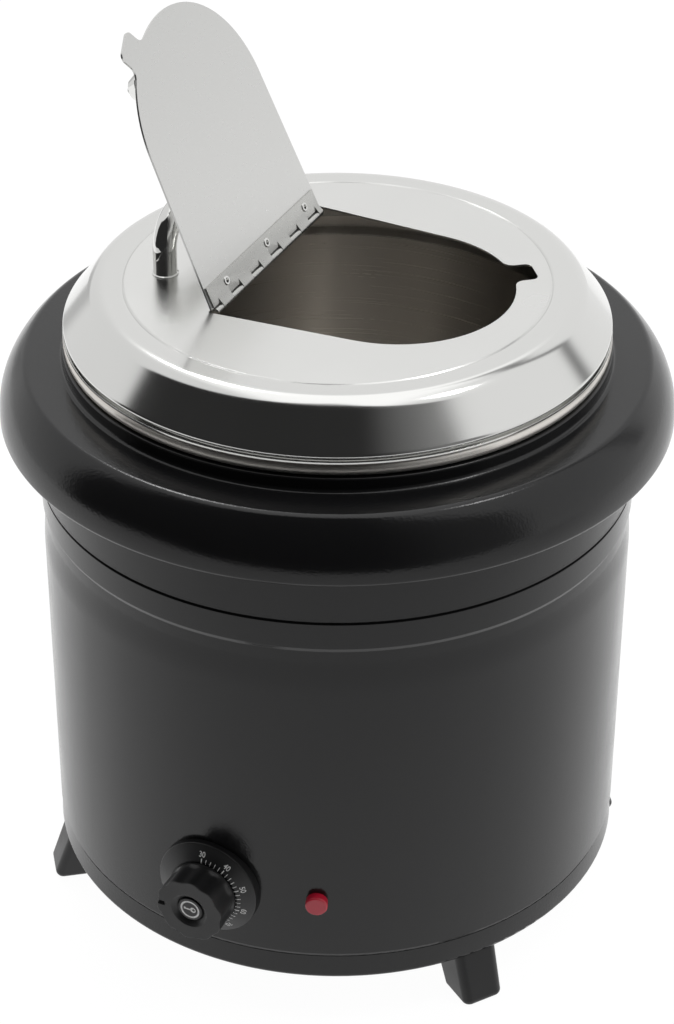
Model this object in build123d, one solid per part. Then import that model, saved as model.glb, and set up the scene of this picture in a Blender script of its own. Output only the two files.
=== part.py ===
from build123d import *
import os
from math import asin, atan2, cos, degrees, radians, sin, sqrt, tan

# An electric soup kettle with a water bath, a lift-out pot and a lid with a hinged serving flap.
# Millimetres. The origin is on the floor under the kettle's axis, +Z is up, the dial faces -Y and
# the flap closes towards +X. Bead, dial and gland heights are above the body's lower edge.

# Clearances
fit_gap = 0.05              # shafts, pins and screws in their holes
seat_gap = 0.1              # pieces that rest on a curved neighbour
lift_gap = 0.3              # pieces that lift off their seat

# Pot: the size that the rest is built round. Its rolled rim hangs on the collar.
pot_radius = 125.6
pot_wall = 0.8
pot_corner = 20.0
pot_step_width = 5.0        # step out to the mouth
pot_step_rise = 3.0
pot_mouth_depth = 12.0      # from the rim bead's middle down to the step
bead_radius = 3.4
bead_turn = 285.0
bead_height = 297.0
water_depth = 14.0          # well floor to pot floor

# Collar: quarter-round pressed ring from the pot's rim out to a turned-in lower edge
collar_round = 35.2
collar_wall = 1.0
collar_flat = 1.6           # level land under the rim bead
collar_straight = 0.9
collar_curl = 2.6
collar_lip_gap = 0.8
collar_lip_bend = 1.8
collar_lip_depth = 9.0
collar_screw_turn = 20.0

# Water well: drawn pan under the collar's lip, with the heater clamped below it
well_lip_gap = 0.3
well_wall = 0.8
well_corner = 15.0
well_flange = 4.0
stud_radius = 4.0
stud_length = 20.0
heater_inset = 36.5         # element's circle inside the flat of the well's floor
heater_radius = 4.2
heater_wrap_turn = 320.0
heater_start_turn = 110.0
heater_bend = 11.0
heater_leg = 10.0
clamp_margin = 16.0
clamp_wall = 1.5
clamp_nut_flats = 13.0
clamp_nut_height = 6.5
cutout_radius = 8.5
cutout_height = 7.0
cutout_place = (42.0, 24.0)
cutout_window = 12.0
blade_size = (1.0, 6.3, 14.0)       # push-on terminal: thickness, width, length

# Body: rolled sheet can, joggled inward at the bottom so that the base pan's skirt sits flush
foot_height = 28.0
body_jacket = 18.0          # air space between the well and the body's outside
body_wall = 1.0
lug_length = 12.0           # lugs bent in from the can's edges, one at each rim screw
lug_width = 18.0
lug_corner = 4.0
body_edge = 3.0             # turned-in edge that the lugs run out from
body_bend = 2.0
groove_drop = 30.9          # from the body's top edge to the groove
groove_width = 16.1
groove_depth = 1.2
pan_wall = 1.0
pan_skirt = 14.5
pan_corner = 3.0
seam_gap = 0.2
seam_bevel = 0.9
vent_count = 12
vent_length = 26.0
vent_width = 4.0
vent_ring = 72.0
vent_turn = 15.0

# Feet: splayed moulded legs, each with a screwed pad under the pan
foot_turn = 36.0            # either side of the X axis
foot_top_width = 24.0
foot_low_width = 22.5
foot_top_depth = 29.0
foot_low_depth = 24.0
foot_inset = 1.8
foot_splay = 10.0
foot_corner = 4.5
foot_edge = 3.0
pad_length = 50.0
pad_thickness = 6.0
foot_screw_inset = 39.0
foot_screw_radius = 2.5
rim_screw_count = 4
base_screw_turn = 5.5
small_screw_radius = 1.75
screw_head_share = 1.9      # head radius over shank radius
screw_head_height = 2.4
nut_height = 4.0

# Lid: spun shell on a rim ring whose skirt drops into the pot's mouth
lid_wall = 1.0
shoulder_width = 21.5       # from the plate's edge to the outside
shoulder_drop = 21.2
shoulder_round = 11.0       # bend from the plate into the shoulder's cone
shoulder_edge = 2.5         # bend at the cone's foot
crease_inset = 9.0          # inside the plate's edge
crease_width = 1.4
crease_depth = 0.5
hem_bend = 1.2
hem_width = 5.5
rim_overhang = 3.2          # beyond the middle of the pot's rim bead
rim_wall = 1.0
rim_lip = 0.2
rim_recess = 2.6
rim_step = 1.3
skirt_gap = 0.7
skirt_wall = 0.9
skirt_depth = 6.6

# Lid opening and flap. Both are a tapered tongue with a round end; the notch and the finger tab
# have one shape, on opposite sides of the tongue.
tongue_offset = 3.54        # tongue's middle line from the lid's axis, along Y
hinge_x = -39.1
opening_half = 63.4
opening_centre = 30.0
opening_round = 59.2
opening_finger_turn = 37.5
flap_half = 61.7
flap_centre = 39.4
flap_round = 57.8
flap_finger_turn = -36.9
finger_width = 16.5
finger_length = 11.9
finger_corner = 3.6
finger_blend = 5.5
flap_open_turn = 114.0

# Piano hinge under both plates, its leaves on the pin's plane
knuckle_radius = 1.8
pin_radius = 0.9
leaf_wall = 0.8
leaf_width = 13.0
leaf_half_length = 60.0
knuckle_length = 10.95
knuckle_gap = 0.3
first_knuckle_inset = 0.7   # middle of the first lid-side knuckle from the hinge's near end
knuckle_relief = 0.7
knuckle_roll = 5.0          # from the pin to where the leaf starts to curl
stop_gap = 0.05
rivet_places = (-41.5, 3.0, 47.0)
rivet_line = 8.6
rivet_radius = 1.5
rivet_head_radius = 2.4
rivet_head_height = 0.5
rivet_bore = 1.2            # open end of the tubular rivet
rivet_bore_depth = 1.6

# Flap knob: low spun boss welded to the outer face
flap_knob_place = (110.5, -36.0)    # from the hinge, and along it
flap_knob_radius = 9.2
flap_knob_height = 8.6
flap_nub_radius = 1.9
flap_nub_height = 2.6

# Lid handle: bent tube on two weld rings
handle_setback = 40.1       # behind the hinge
handle_half_span = 36.0
handle_rise = 28.6
handle_radius = 6.0
handle_wall = 1.2
handle_bend = 16.0
weld_ring_width = 0.7
weld_ring_height = 0.9

# Dial, knob and thermostat on the front of the body
dial_height = 52.0
bezel_radius = 27.2
bezel_rim = 3.2
bezel_face = 7.3
bezel_scale_width = 8.4
bezel_land = 1.2
bezel_floor = 2.6
bezel_edge = 0.8
knob_radius = 18.9
knob_length = 16.0
knob_gap = 0.4
knob_draft_angle = 2.5
knob_edge = 1.8
flute_count = 10
flute_radius = 7.0
flute_depth = 1.1
flute_start = 2.4           # above the knob's base
dish_radius = 10.0
dish_depth = 2.2
cap_radius = 6.8
cap_thickness = 1.0
pointer_width = 2.2
pointer_length = 3.4
shaft_radius = 3.0
shaft_flat = 0.8
shaft_tip_gap = 3.0         # shaft's end below the knob's dished face
bushing_radius = 5.0
thermostat_width = 38.0
thermostat_height = 30.0
thermostat_depth = 26.0
thermostat_setback = 4.2
thermostat_room = 5.0       # to the well's floor above it
bracket_margin = 2.0
bracket_wall = 1.2
bracket_boss_radius = 4.0
dial_screw_spread = 13.5
bulb_radius = 3.0
bulb_length = 80.0
bulb_inset = 14.5           # bulb inside the flat of the well's floor
capillary_radius = 0.9
capillary_loop = 17.0       # beyond the bulb's end
capillary_entry = 11.0
capillary_drop = 15.0
capillary_bend = 5.0
clip_width = 12.0
clip_wall = 0.8
clip_foot = 6.0

# Pilot lamp
lamp_turn = 21.1            # from the dial, round the body
lamp_drop = 0.5             # below the dial's middle
lens_radius = 5.7
lens_front = 4.4
lens_edge = 1.1
lamp_barrel_radius = 4.8
lamp_barrel_length = 26.0
lamp_nut_radius = 8.0
lamp_nut_height = 2.6

# Cord gland at the back and the terminal block beside it
gland_height = 34.0
gland_bore = 4.0
gland_thread_radius = 7.8
gland_thread_length = 12.0
gland_flats = 24.0
gland_hex_height = 6.5
gland_cap_radius = 10.6
gland_cap_mouth = 6.4
gland_rib_count = 12
gland_rib_radius = 0.9
locknut_flats = 22.0
locknut_height = 4.0
block_length = 44.0
block_width = 20.0
block_height = 17.0
block_place = (-46.0, 74.0)
pole_count = 3
pole_pitch = 12.0
pole_hole_radius = 2.2
pole_entry_radius = 1.9


# Radii that follow from the sizes above
mouth_radius = pot_radius + pot_step_width
bead_ring = mouth_radius + bead_radius
collar_lip_radius = mouth_radius + pot_wall + collar_lip_gap
collar_ring = bead_ring + collar_flat
collar_outer = collar_ring + collar_round
well_radius = collar_lip_radius + collar_wall + well_lip_gap
well_flat = well_radius - well_corner
heater_ring = well_flat - heater_inset
body_radius = well_radius + well_wall + body_jacket
joggle_radius = body_radius - pan_wall - seam_gap
base_screw_ring = joggle_radius - lug_length / 2
collar_screw_ring = body_radius - lug_length / 2
foot_top_face = body_radius - foot_inset
foot_low_face = foot_top_face + foot_splay
foot_screw_ring = foot_top_face - foot_screw_inset
foot_turns = (-foot_turn, foot_turn, 180 - foot_turn, 180 + foot_turn)
rim_radius = bead_ring + rim_overhang
shoulder_radius = rim_radius - rim_lip
hem_inner = shoulder_radius - hem_width
plate_radius = shoulder_radius - shoulder_width
crease_ring = plate_radius - crease_inset
skirt_radius = mouth_radius - skirt_gap
bezel_scale_inner = bezel_radius - bezel_scale_width
bezel_recess = bezel_scale_inner - bezel_land

# Heights that follow, from the floor
body_low = foot_height
skirt_top = body_low + pan_skirt
dial_z = body_low + dial_height
well_floor = dial_z + thermostat_height / 2 + thermostat_room
well_under = well_floor - well_wall
heater_z = well_under - heater_radius - fit_gap
clamp_top = heater_z - heater_radius - fit_gap
bulb_z = well_under - bulb_radius - fit_gap
pot_floor = well_floor + water_depth
bead_z = body_low + bead_height
collar_crown = bead_z - bead_radius - seat_gap
collar_middle = collar_crown - collar_round
collar_low = collar_middle - collar_straight - collar_curl
body_top = collar_low
rim_low = bead_z + bead_radius + lift_gap
hem_low = rim_low + rim_wall + rim_step
shoulder_low = hem_low + hem_bend
lid_top = shoulder_low + shoulder_drop
lid_under = lid_top - lid_wall
hinge_z = lid_under - leaf_wall / 2

# Hinge and control places that follow
plate_over_pin = leaf_wall / 2 + lid_wall
hinge_gap = plate_over_pin / tan(radians((180 - flap_open_turn) / 2)) + stop_gap
hinge_axis = Axis((hinge_x, tongue_offset, hinge_z), (0, 1, 0))
knob_back = bezel_face + knob_gap
knob_front = knob_back + knob_length
dish_floor = knob_front - dish_depth
shaft_end = dish_floor - shaft_tip_gap
thermostat_front = -thermostat_setback - bracket_wall
gland_cap_end = knob_front

dial = Plane(origin=(0, -body_radius, dial_z), x_dir=(1, 0, 0), z_dir=(0, -1, 0))
lamp_out = Vector(sin(radians(lamp_turn)), -cos(radians(lamp_turn)), 0)
lamp_along = Vector(cos(radians(lamp_turn)), sin(radians(lamp_turn)), 0)
lamp_middle = lamp_out * body_radius + Vector(0, 0, dial_z - lamp_drop)
lamp = Plane(origin=lamp_middle, x_dir=lamp_along, z_dir=lamp_out)
gland = Plane(origin=(0, body_radius, body_low + gland_height), x_dir=(-1, 0, 0), z_dir=(0, 1, 0))


# Shared operations

def spun(path, wall, side):
    """Sheet on one side of a radius-height path, turned about the kettle's axis."""
    section = make_face(offset(path, amount=wall, side=side, kind=Kind.INTERSECTION))
    return revolve(Plane.XZ * section, Axis.Z)


def turned(points):
    """Solid of revolution about its own Z axis from a closed radius-height outline."""
    return revolve(Plane.XZ * make_face(Polyline(*points, close=True)), Axis.Z)


def rod(radius, low, high):
    """Cylinder about Z between two heights."""
    return Pos(0, 0, low) * Cylinder(radius, high - low, align=(Align.CENTER, Align.CENTER, Align.MIN))


def hexagon(flats, low, high):
    """Hexagonal prism about Z between two heights."""
    return Pos(0, 0, low) * extrude(RegularPolygon(flats / 2, 6, major_radius=False), high - low)


def ring_places(radius, first_turn, count, height):
    """Evenly spaced places on a circle round the kettle's axis."""
    return [Pos(0, 0, height) * place for place in PolarLocations(radius, count, first_turn)]


def screw(radius, length):
    """Pan-head screw, head below its seat at Z = 0 and shank upward."""
    head = Pos(0, 0, -screw_head_height / 2) * Cylinder(radius * screw_head_share, screw_head_height)
    head = fillet(head.faces().sort_by(Axis.Z)[0].edges(), screw_head_height / 2)
    return head + rod(radius, 0, length)


def body_cylinder(radius):
    """Solid cylinder as tall as the body, to trim what seats on its curved wall."""
    return rod(radius, body_low, body_top)


# Body pieces

def make_outer_shell():
    seam = skirt_top + seam_gap
    low = body_low + pan_wall
    roof = body_top - groove_drop
    floor = roof - groove_width
    waist = body_radius - groove_depth
    path = FilletPolyline(
        (joggle_radius - body_edge, low),
        (joggle_radius, low),
        (joggle_radius, seam),
        (body_radius, seam + seam_bevel),
        (body_radius, floor),
        (waist, floor + groove_depth),
        (waist, roof - groove_depth),
        (body_radius, roof),
        (body_radius, body_top),
        (body_radius - body_edge, body_top),
        radius=[body_bend] + [body_wall / 4] * 2 + [body_wall / 2] * 4 + [body_bend],
    )
    shell = spun(path, body_wall, Side.LEFT)
    for place in ring_places(joggle_radius, base_screw_turn, rim_screw_count, low):
        shell += place * make_lug()
    for place in ring_places(body_radius, collar_screw_turn, rim_screw_count, body_top - body_wall):
        shell += place * make_lug()
    shell -= dial * rod(bushing_radius + lift_gap, -bezel_radius, bezel_face)
    for side in (-1, 1):
        hole = rod(small_screw_radius + fit_gap, -bezel_radius, bezel_face)
        shell -= dial * Pos(side * dial_screw_spread, 0, 0) * hole
    shell -= lamp * rod(lamp_barrel_radius + fit_gap, -lens_radius * 2, lens_radius)
    shell -= gland * rod(gland_thread_radius + fit_gap, -gland_thread_length, gland_hex_height)
    for place in ring_places(base_screw_ring, base_screw_turn, rim_screw_count, body_low):
        shell -= place * rod(small_screw_radius + fit_gap, 0, pan_skirt)
    for place in ring_places(collar_screw_ring, collar_screw_turn, rim_screw_count, body_top):
        shell -= place * rod(small_screw_radius + fit_gap, -body_wall, 0)
    return shell


def make_lug():
    """Flat lug reaching in along -X from the can's turned-in edge."""
    root = (body_edge + body_bend) / 2
    outline = Pos(-(lug_length + root) / 2, 0) * Rectangle(lug_length - root, lug_width)
    outline = fillet(outline.vertices().sort_by(Axis.X)[:2], lug_corner)
    return extrude(outline, body_wall)


def make_base_pan():
    path = FilletPolyline((0, body_low), (body_radius, body_low), (body_radius, skirt_top), radius=pan_corner)
    pan = spun(path, pan_wall, Side.LEFT)
    for place in ring_places(vent_ring, vent_turn, vent_count, body_low):
        pan -= place * extrude(SlotOverall(vent_length, vent_width), pan_wall)
    for place in foot_screw_places(body_low):
        pan -= place * rod(foot_screw_radius + fit_gap, 0, pan_wall)
    for place in ring_places(base_screw_ring, base_screw_turn, rim_screw_count, body_low):
        pan -= place * rod(small_screw_radius + fit_gap, 0, pan_wall)
    pan -= Pos(*block_place, body_low) * rod(small_screw_radius + fit_gap, 0, pan_wall)
    return pan


def make_foot():
    top_section = RectangleRounded(foot_top_depth, foot_top_width, foot_corner)
    low_section = RectangleRounded(foot_low_depth, foot_low_width, foot_corner)
    top = Pos(foot_top_face - foot_top_depth / 2, 0, foot_height) * top_section
    low = Pos(foot_low_face - foot_low_depth / 2, 0, 0) * low_section
    leg = loft([low, top])
    leg = fillet(leg.faces().sort_by(Axis.Z)[0].edges(), foot_edge)
    pad_outer = foot_top_face - foot_top_depth / 2
    pad_inner = foot_top_face - pad_length
    pad_sketch = Rectangle(pad_outer - pad_inner, foot_top_width)
    pad_sketch = Pos((pad_outer + pad_inner) / 2, 0) * pad_sketch
    inner_corners = pad_sketch.vertices().sort_by(Axis.X)[:2]
    pad_sketch = fillet(inner_corners, foot_corner)
    pad = Pos(0, 0, foot_height - pad_thickness) * extrude(pad_sketch, pad_thickness)
    foot = leg + pad
    return foot - Pos(foot_screw_ring, 0, 0) * rod(foot_screw_radius + fit_gap, 0, foot_height)


def foot_screw_places(height):
    """Where each foot is screwed to the pan."""
    return [Pos(0, 0, height) * Rot(0, 0, turn) * Pos(foot_screw_ring, 0, 0) for turn in foot_turns]


def make_foot_screws():
    length = pad_thickness + pan_wall + nut_height
    return [place * screw(foot_screw_radius, length)
            for place in foot_screw_places(foot_height - pad_thickness)]


def make_foot_nuts():
    flats = foot_screw_radius * screw_head_share * 2
    nut = hexagon(flats, 0, nut_height) - rod(foot_screw_radius + fit_gap, 0, nut_height)
    return [place * nut for place in foot_screw_places(body_low + pan_wall)]


def make_base_screws():
    length = pan_wall + body_wall + nut_height
    return [place * screw(small_screw_radius, length)
            for place in ring_places(base_screw_ring, base_screw_turn, rim_screw_count, body_low)]


def make_collar_ring():
    lip_top = collar_crown - collar_lip_bend
    path = Line((collar_lip_radius, lip_top - collar_lip_depth), (collar_lip_radius, lip_top))
    path += CenterArc((collar_lip_radius + collar_lip_bend, lip_top), collar_lip_bend, 180, -90)
    path += Line((collar_lip_radius + collar_lip_bend, collar_crown), (collar_ring, collar_crown))
    path += CenterArc((collar_ring, collar_middle), collar_round, 90, -90)
    path += Line((collar_outer, collar_middle), (collar_outer, collar_low + collar_curl))
    path += CenterArc((collar_outer - collar_curl, collar_low + collar_curl), collar_curl, 0, -90)
    path += Line((collar_outer - collar_curl, collar_low), (body_radius - lug_length, collar_low))
    collar = spun(path, collar_wall, Side.RIGHT)
    for place in ring_places(collar_screw_ring, collar_screw_turn, rim_screw_count, collar_low):
        collar -= place * rod(small_screw_radius + fit_gap, 0, collar_wall)
    return collar


def make_collar_screws():
    length = body_wall + collar_wall + nut_height / 2
    seat = body_top - body_wall
    return [place * screw(small_screw_radius, length)
            for place in ring_places(collar_screw_ring, collar_screw_turn, rim_screw_count, seat)]


# Water well and heater pieces

def make_water_well():
    inside = collar_round - collar_wall - seat_gap
    flange_radius = well_radius + well_flange
    flange_top = collar_middle + sqrt(inside**2 - (flange_radius - collar_ring) ** 2)
    path = FilletPolyline(
        (0, well_floor),
        (well_radius, well_floor),
        (well_radius, flange_top),
        (flange_radius, flange_top),
        radius=[well_corner, well_wall],
    )
    return spun(path, well_wall, Side.RIGHT) + rod(stud_radius, well_under - stud_length, well_under)


def make_heating_element():
    path = Pos(0, 0, heater_z) * CenterArc((0, 0), heater_ring, heater_start_turn, heater_wrap_turn)
    edges = path.edges()
    for turn, sense in ((heater_start_turn, -1), (heater_start_turn + heater_wrap_turn, 1)):
        angle = radians(turn)
        end = Vector(heater_ring * cos(angle), heater_ring * sin(angle), heater_z)
        along = Vector(-sin(angle), cos(angle), 0) * sense
        bend = Plane(origin=end - Vector(0, 0, heater_bend), x_dir=along, z_dir=along.cross(Vector(0, 0, 1)))
        edges += (bend * CenterArc((0, 0), heater_bend, 0, 90)).edges()
        edges += (bend * Line((heater_bend, 0), (heater_bend, -heater_leg))).edges()
    wire = Wire(edges)
    return sweep(Plane(origin=wire @ 0, z_dir=wire % 0) * Circle(heater_radius), path=wire)


def heater_leg_places():
    places = []
    for turn, sense in ((heater_start_turn, -1), (heater_start_turn + heater_wrap_turn, 1)):
        angle = radians(turn)
        x = heater_ring * cos(angle) - sense * heater_bend * sin(angle)
        y = heater_ring * sin(angle) + sense * heater_bend * cos(angle)
        places.append((x, y))
    return places


def make_heater_clamp():
    plate = rod(heater_ring + clamp_margin, clamp_top - clamp_wall, clamp_top)
    plate -= rod(stud_radius + fit_gap, clamp_top - clamp_wall, clamp_top)
    for x, y in heater_leg_places():
        middle = Vector(x, y).normalized() * heater_ring
        slot = SlotOverall(heater_bend * 2 + heater_radius * 3, heater_radius * 3)
        turn = degrees(atan2(y, x)) + 90
        plate -= Pos(middle.X, middle.Y, clamp_top - clamp_wall) * Rot(0, 0, turn) * extrude(slot, clamp_wall)
    plate -= Pos(*cutout_place, 0) * rod(cutout_window, clamp_top - clamp_wall, clamp_top)
    return plate


def make_clamp_nut():
    top = clamp_top - clamp_wall
    return hexagon(clamp_nut_flats, top - clamp_nut_height, top) - rod(
        stud_radius + fit_gap, top - clamp_nut_height, top
    )


def make_thermal_cutout():
    body = rod(cutout_radius, well_under - cutout_height, well_under)
    blade = Box(*blade_size, align=(Align.CENTER, Align.CENTER, Align.MAX))
    for side in (-1, 1):
        body += Pos(side * cutout_radius / 2, 0, well_under - cutout_height) * blade
    return Pos(*cutout_place, 0) * body


# Pot

def make_soup_pot():
    step = bead_z - pot_mouth_depth
    wall = FilletPolyline(
        (0, pot_floor),
        (pot_radius, pot_floor),
        (pot_radius, step),
        (mouth_radius, step + pot_step_rise),
        (mouth_radius, bead_z),
        radius=[pot_corner, pot_wall * 1.5, pot_wall * 1.5],
    )
    path = wall + CenterArc((bead_ring, bead_z), bead_radius, 180, -bead_turn)
    return spun(path, pot_wall, Side.RIGHT)


# Lid, flap and hinge

def tongue(half_width, centre, round_radius, finger_turn):
    """Tapered tongue with a round end and one finger on it, lying along +X with the hinge on Y."""
    root = Vector(hinge_x, half_width)
    to_centre = Vector(centre, 0) - root
    side_turn = atan2(to_centre.Y, to_centre.X) + asin(round_radius / to_centre.length)
    along = Vector(cos(side_turn), sin(side_turn))
    meet = root + along * sqrt(to_centre.length**2 - round_radius**2)
    back = root - along * leaf_width
    sides = Polyline((meet.X, -meet.Y), (back.X, -back.Y), (back.X, back.Y), (meet.X, meet.Y))
    nose = ThreePointArc((meet.X, meet.Y), (centre + round_radius, 0), (meet.X, -meet.Y))
    outline = make_face(sides + nose)
    length = finger_length * 2
    finger = Pos(round_radius, 0) * RectangleRounded(length, finger_width, finger_corner)
    outline += Pos(centre, 0) * Rot(0, 0, finger_turn) * finger
    foot = Vector(sqrt(round_radius**2 - (finger_width / 2) ** 2), finger_width / 2)
    corners = []
    for sense in (-1, 1):
        corner = Vector(foot.X, sense * foot.Y).rotate(Axis.Z, finger_turn) + Vector(centre, 0)
        corners.append(outline.vertices().sort_by_distance(corner)[0])
    return fillet(corners, finger_blend)


def beyond(sketch, x):
    """What of a flat sketch lies further along +X than x."""
    return sketch & (Pos(x + body_radius, 0) * Rectangle(body_radius * 2, body_radius * 2))


def rivet_holes(side):
    """Drill for the hinge rivets of the lid side (-1) or the flap side (1)."""
    drill = rod(rivet_radius + fit_gap, hinge_z - leaf_width, hinge_z + leaf_width)
    x = hinge_x + side * rivet_line
    return [Pos(x, tongue_offset + y, 0) * drill for y in rivet_places]


def make_lid_shell():
    upper = Vector(plate_radius, lid_top - shoulder_round)
    lower = Vector(shoulder_radius - shoulder_edge, shoulder_low)
    between = upper - lower
    turn = asin((shoulder_round - shoulder_edge) / between.length) + atan2(between.Y, -between.X)
    cone_out = Vector(sin(turn), cos(turn))
    cone_top = upper + cone_out * shoulder_round
    cone_foot = lower + cone_out * shoulder_edge
    hem_corner = shoulder_radius - hem_bend
    path = Line((0, lid_top), (plate_radius, lid_top))
    path += CenterArc(upper, shoulder_round, 90, -degrees(turn))
    path += Line(cone_top, cone_foot)
    path += CenterArc(lower, shoulder_edge, 90 - degrees(turn), degrees(turn) - 90)
    path += CenterArc((hem_corner, shoulder_low), hem_bend, 0, -90)
    path += Line((hem_corner, hem_low), (hem_inner, hem_low))
    lid = spun(path, lid_wall, Side.RIGHT)
    lid -= turned([
        (crease_ring - crease_width / 2, lid_top),
        (crease_ring, lid_top - crease_depth),
        (crease_ring + crease_width / 2, lid_top),
    ])
    outline = tongue(opening_half, opening_centre, opening_round, opening_finger_turn)
    outline = beyond(outline, hinge_x - hinge_gap)
    lid -= Pos(0, tongue_offset, lid_under - lid_wall) * extrude(outline, lid_wall * 3)
    for drill in rivet_holes(-1):
        lid -= drill
    return lid


def make_lid_rim():
    top = rim_low + rim_wall
    riser = shoulder_radius - rim_recess
    return turned([
        (skirt_radius - skirt_wall, rim_low - skirt_depth),
        (skirt_radius, rim_low - skirt_depth),
        (skirt_radius, rim_low),
        (rim_radius, rim_low),
        (rim_radius, top),
        (riser, top),
        (riser, hem_low),
        (hem_inner, hem_low),
        (hem_inner, top),
        (skirt_radius - skirt_wall, top),
    ])


def make_lid_handle():
    x = hinge_x - handle_setback
    high = lid_top + handle_rise
    near = tongue_offset - handle_half_span
    far = tongue_offset + handle_half_span
    path = FilletPolyline(
        (x, near, lid_top), (x, near, high), (x, far, high), (x, far, lid_top), radius=handle_bend
    )
    section = Circle(handle_radius) - Circle(handle_radius - handle_wall)
    handle = sweep(Plane(origin=path @ 0, z_dir=path % 0) * section, path=path)
    bore = handle_radius - handle_wall
    ring_radius = handle_radius + weld_ring_width
    ring = turned([
        (bore, 0), (ring_radius, 0), (ring_radius, weld_ring_height / 2),
        (handle_radius, weld_ring_height), (bore, weld_ring_height),
    ])
    for y in (near, far):
        handle += Pos(x, y, lid_top) * ring
    return handle


def knuckle_spans(side):
    """Start and end along the hinge of every knuckle of the lid side (-1) or the flap side (1)."""
    spans = []
    middle = first_knuckle_inset - leaf_half_length
    if side > 0:
        middle += knuckle_length
    while middle - knuckle_length / 2 < leaf_half_length:
        start = max(middle - knuckle_length / 2, -leaf_half_length)
        end = min(middle + knuckle_length / 2, leaf_half_length)
        spans.append((start, end))
        middle += knuckle_length * 2
    return spans


def along_hinge(radius, start, end):
    """Cylinder on the hinge's pin line."""
    place = Pos(hinge_x, tongue_offset + start, hinge_z) * Rot(-90, 0, 0)
    return place * rod(radius, 0, end - start)


def make_hinge_leaf(side):
    """Flat leaf with its rolled knuckles, cut back where the other leaf's knuckles turn."""
    sheet = Box(leaf_width, leaf_half_length * 2, leaf_wall)
    leaf = Pos(hinge_x + side * leaf_width / 2, tongue_offset, hinge_z) * sheet
    for start, end in knuckle_spans(-side):
        middle = (start + end) / 2
        relief = knuckle_radius + knuckle_relief
        cut = Box(relief * 2, end - start + knuckle_gap, relief * 2)
        leaf -= Pos(hinge_x, tongue_offset + middle, hinge_z) * cut
    roll = make_face(Polyline(
        (0, 0), (0, -knuckle_radius), (knuckle_radius / 2, -knuckle_radius), (knuckle_roll, -leaf_wall / 2),
        (knuckle_roll, 0), close=True,
    ))
    for start, end in knuckle_spans(side):
        length = end - start - knuckle_gap
        leaf += along_hinge(knuckle_radius, start + knuckle_gap / 2, end - knuckle_gap / 2)
        curl = Plane.XZ * extrude(roll, -length)
        if side < 0:
            curl = mirror(curl, Plane.YZ)
        leaf += Pos(hinge_x, tongue_offset + start + knuckle_gap / 2, hinge_z) * curl
    leaf -= along_hinge(pin_radius + fit_gap, -leaf_half_length, leaf_half_length)
    for drill in rivet_holes(side):
        leaf -= drill
    return leaf


def make_hinge_pin():
    return along_hinge(pin_radius, -leaf_half_length, leaf_half_length)


def make_hinge_rivets(side):
    low = hinge_z - leaf_wall / 2
    shank = rod(rivet_radius, low - rivet_head_height / 2, lid_top + rivet_head_height / 2)
    upper = rod(rivet_head_radius, lid_top, lid_top + rivet_head_height)
    lower = rod(rivet_head_radius, low - rivet_head_height, low)
    upper = chamfer(upper.faces().sort_by(Axis.Z)[-1].edges(), rivet_head_height / 2)
    lower = chamfer(lower.faces().sort_by(Axis.Z)[0].edges(), rivet_head_height / 2)
    rivet = shank + upper + lower
    mouth = low - rivet_head_height
    rivet -= rod(rivet_bore, mouth, mouth + rivet_bore_depth)
    return [Pos(hinge_x + side * rivet_line, tongue_offset + y, 0) * rivet for y in rivet_places]


def opened(shape):
    """Turn a piece of the flap from flat on the lid to its open rest against the lid's edge."""
    return shape.rotate(hinge_axis, -flap_open_turn)


def make_lid_flap():
    outline = tongue(flap_half, flap_centre, flap_round, flap_finger_turn)
    outline = beyond(outline, hinge_x + hinge_gap)
    flap = Pos(0, tongue_offset, lid_under) * extrude(outline, lid_wall)
    for drill in rivet_holes(1):
        flap -= drill
    return opened(flap)


def make_flap_knob():
    shoulder = (flap_knob_radius + flap_nub_radius) / 2
    boss = turned([
        (0, 0),
        (flap_knob_radius, 0),
        (flap_knob_radius, lid_wall),
        (shoulder, flap_knob_height - lid_wall),
        (flap_nub_radius, flap_knob_height),
        (flap_nub_radius, flap_knob_height + flap_nub_height),
        (0, flap_knob_height + flap_nub_height),
    ])
    boss = fillet(boss.edges().sort_by(Axis.Z)[-1], flap_nub_radius / 2)
    from_hinge, across = flap_knob_place
    return opened(Pos(hinge_x + from_hinge, tongue_offset + across, lid_top) * boss)


# Dial, knob and thermostat pieces

def make_dial_bezel():
    low = -bezel_radius / 4
    bezel = turned([
        (bushing_radius + lift_gap, low),
        (bezel_radius, low),
        (bezel_radius, bezel_rim),
        (bezel_scale_inner, bezel_face),
        (bezel_recess, bezel_face),
        (bezel_recess, bezel_floor),
        (bushing_radius + lift_gap, bezel_floor),
    ])
    rim = bezel.edges().filter_by(GeomType.CIRCLE).sort_by(SortBy.RADIUS)[-2:].sort_by(Axis.Z)[-1]
    bezel = fillet(rim, bezel_edge)
    for side in (-1, 1):
        bezel -= Pos(side * dial_screw_spread, 0, 0) * rod(small_screw_radius + fit_gap, low, bezel_floor)
    return dial * bezel - body_cylinder(body_radius + seat_gap)


def shaft_section(gap):
    """Round section with one flat, grown by a gap for its socket."""
    flat = shaft_radius - shaft_flat + gap
    return Circle(shaft_radius + gap) & (
        Pos(0, flat - shaft_radius * 2) * Rectangle(shaft_radius * 4, shaft_radius * 4)
    )


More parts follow.
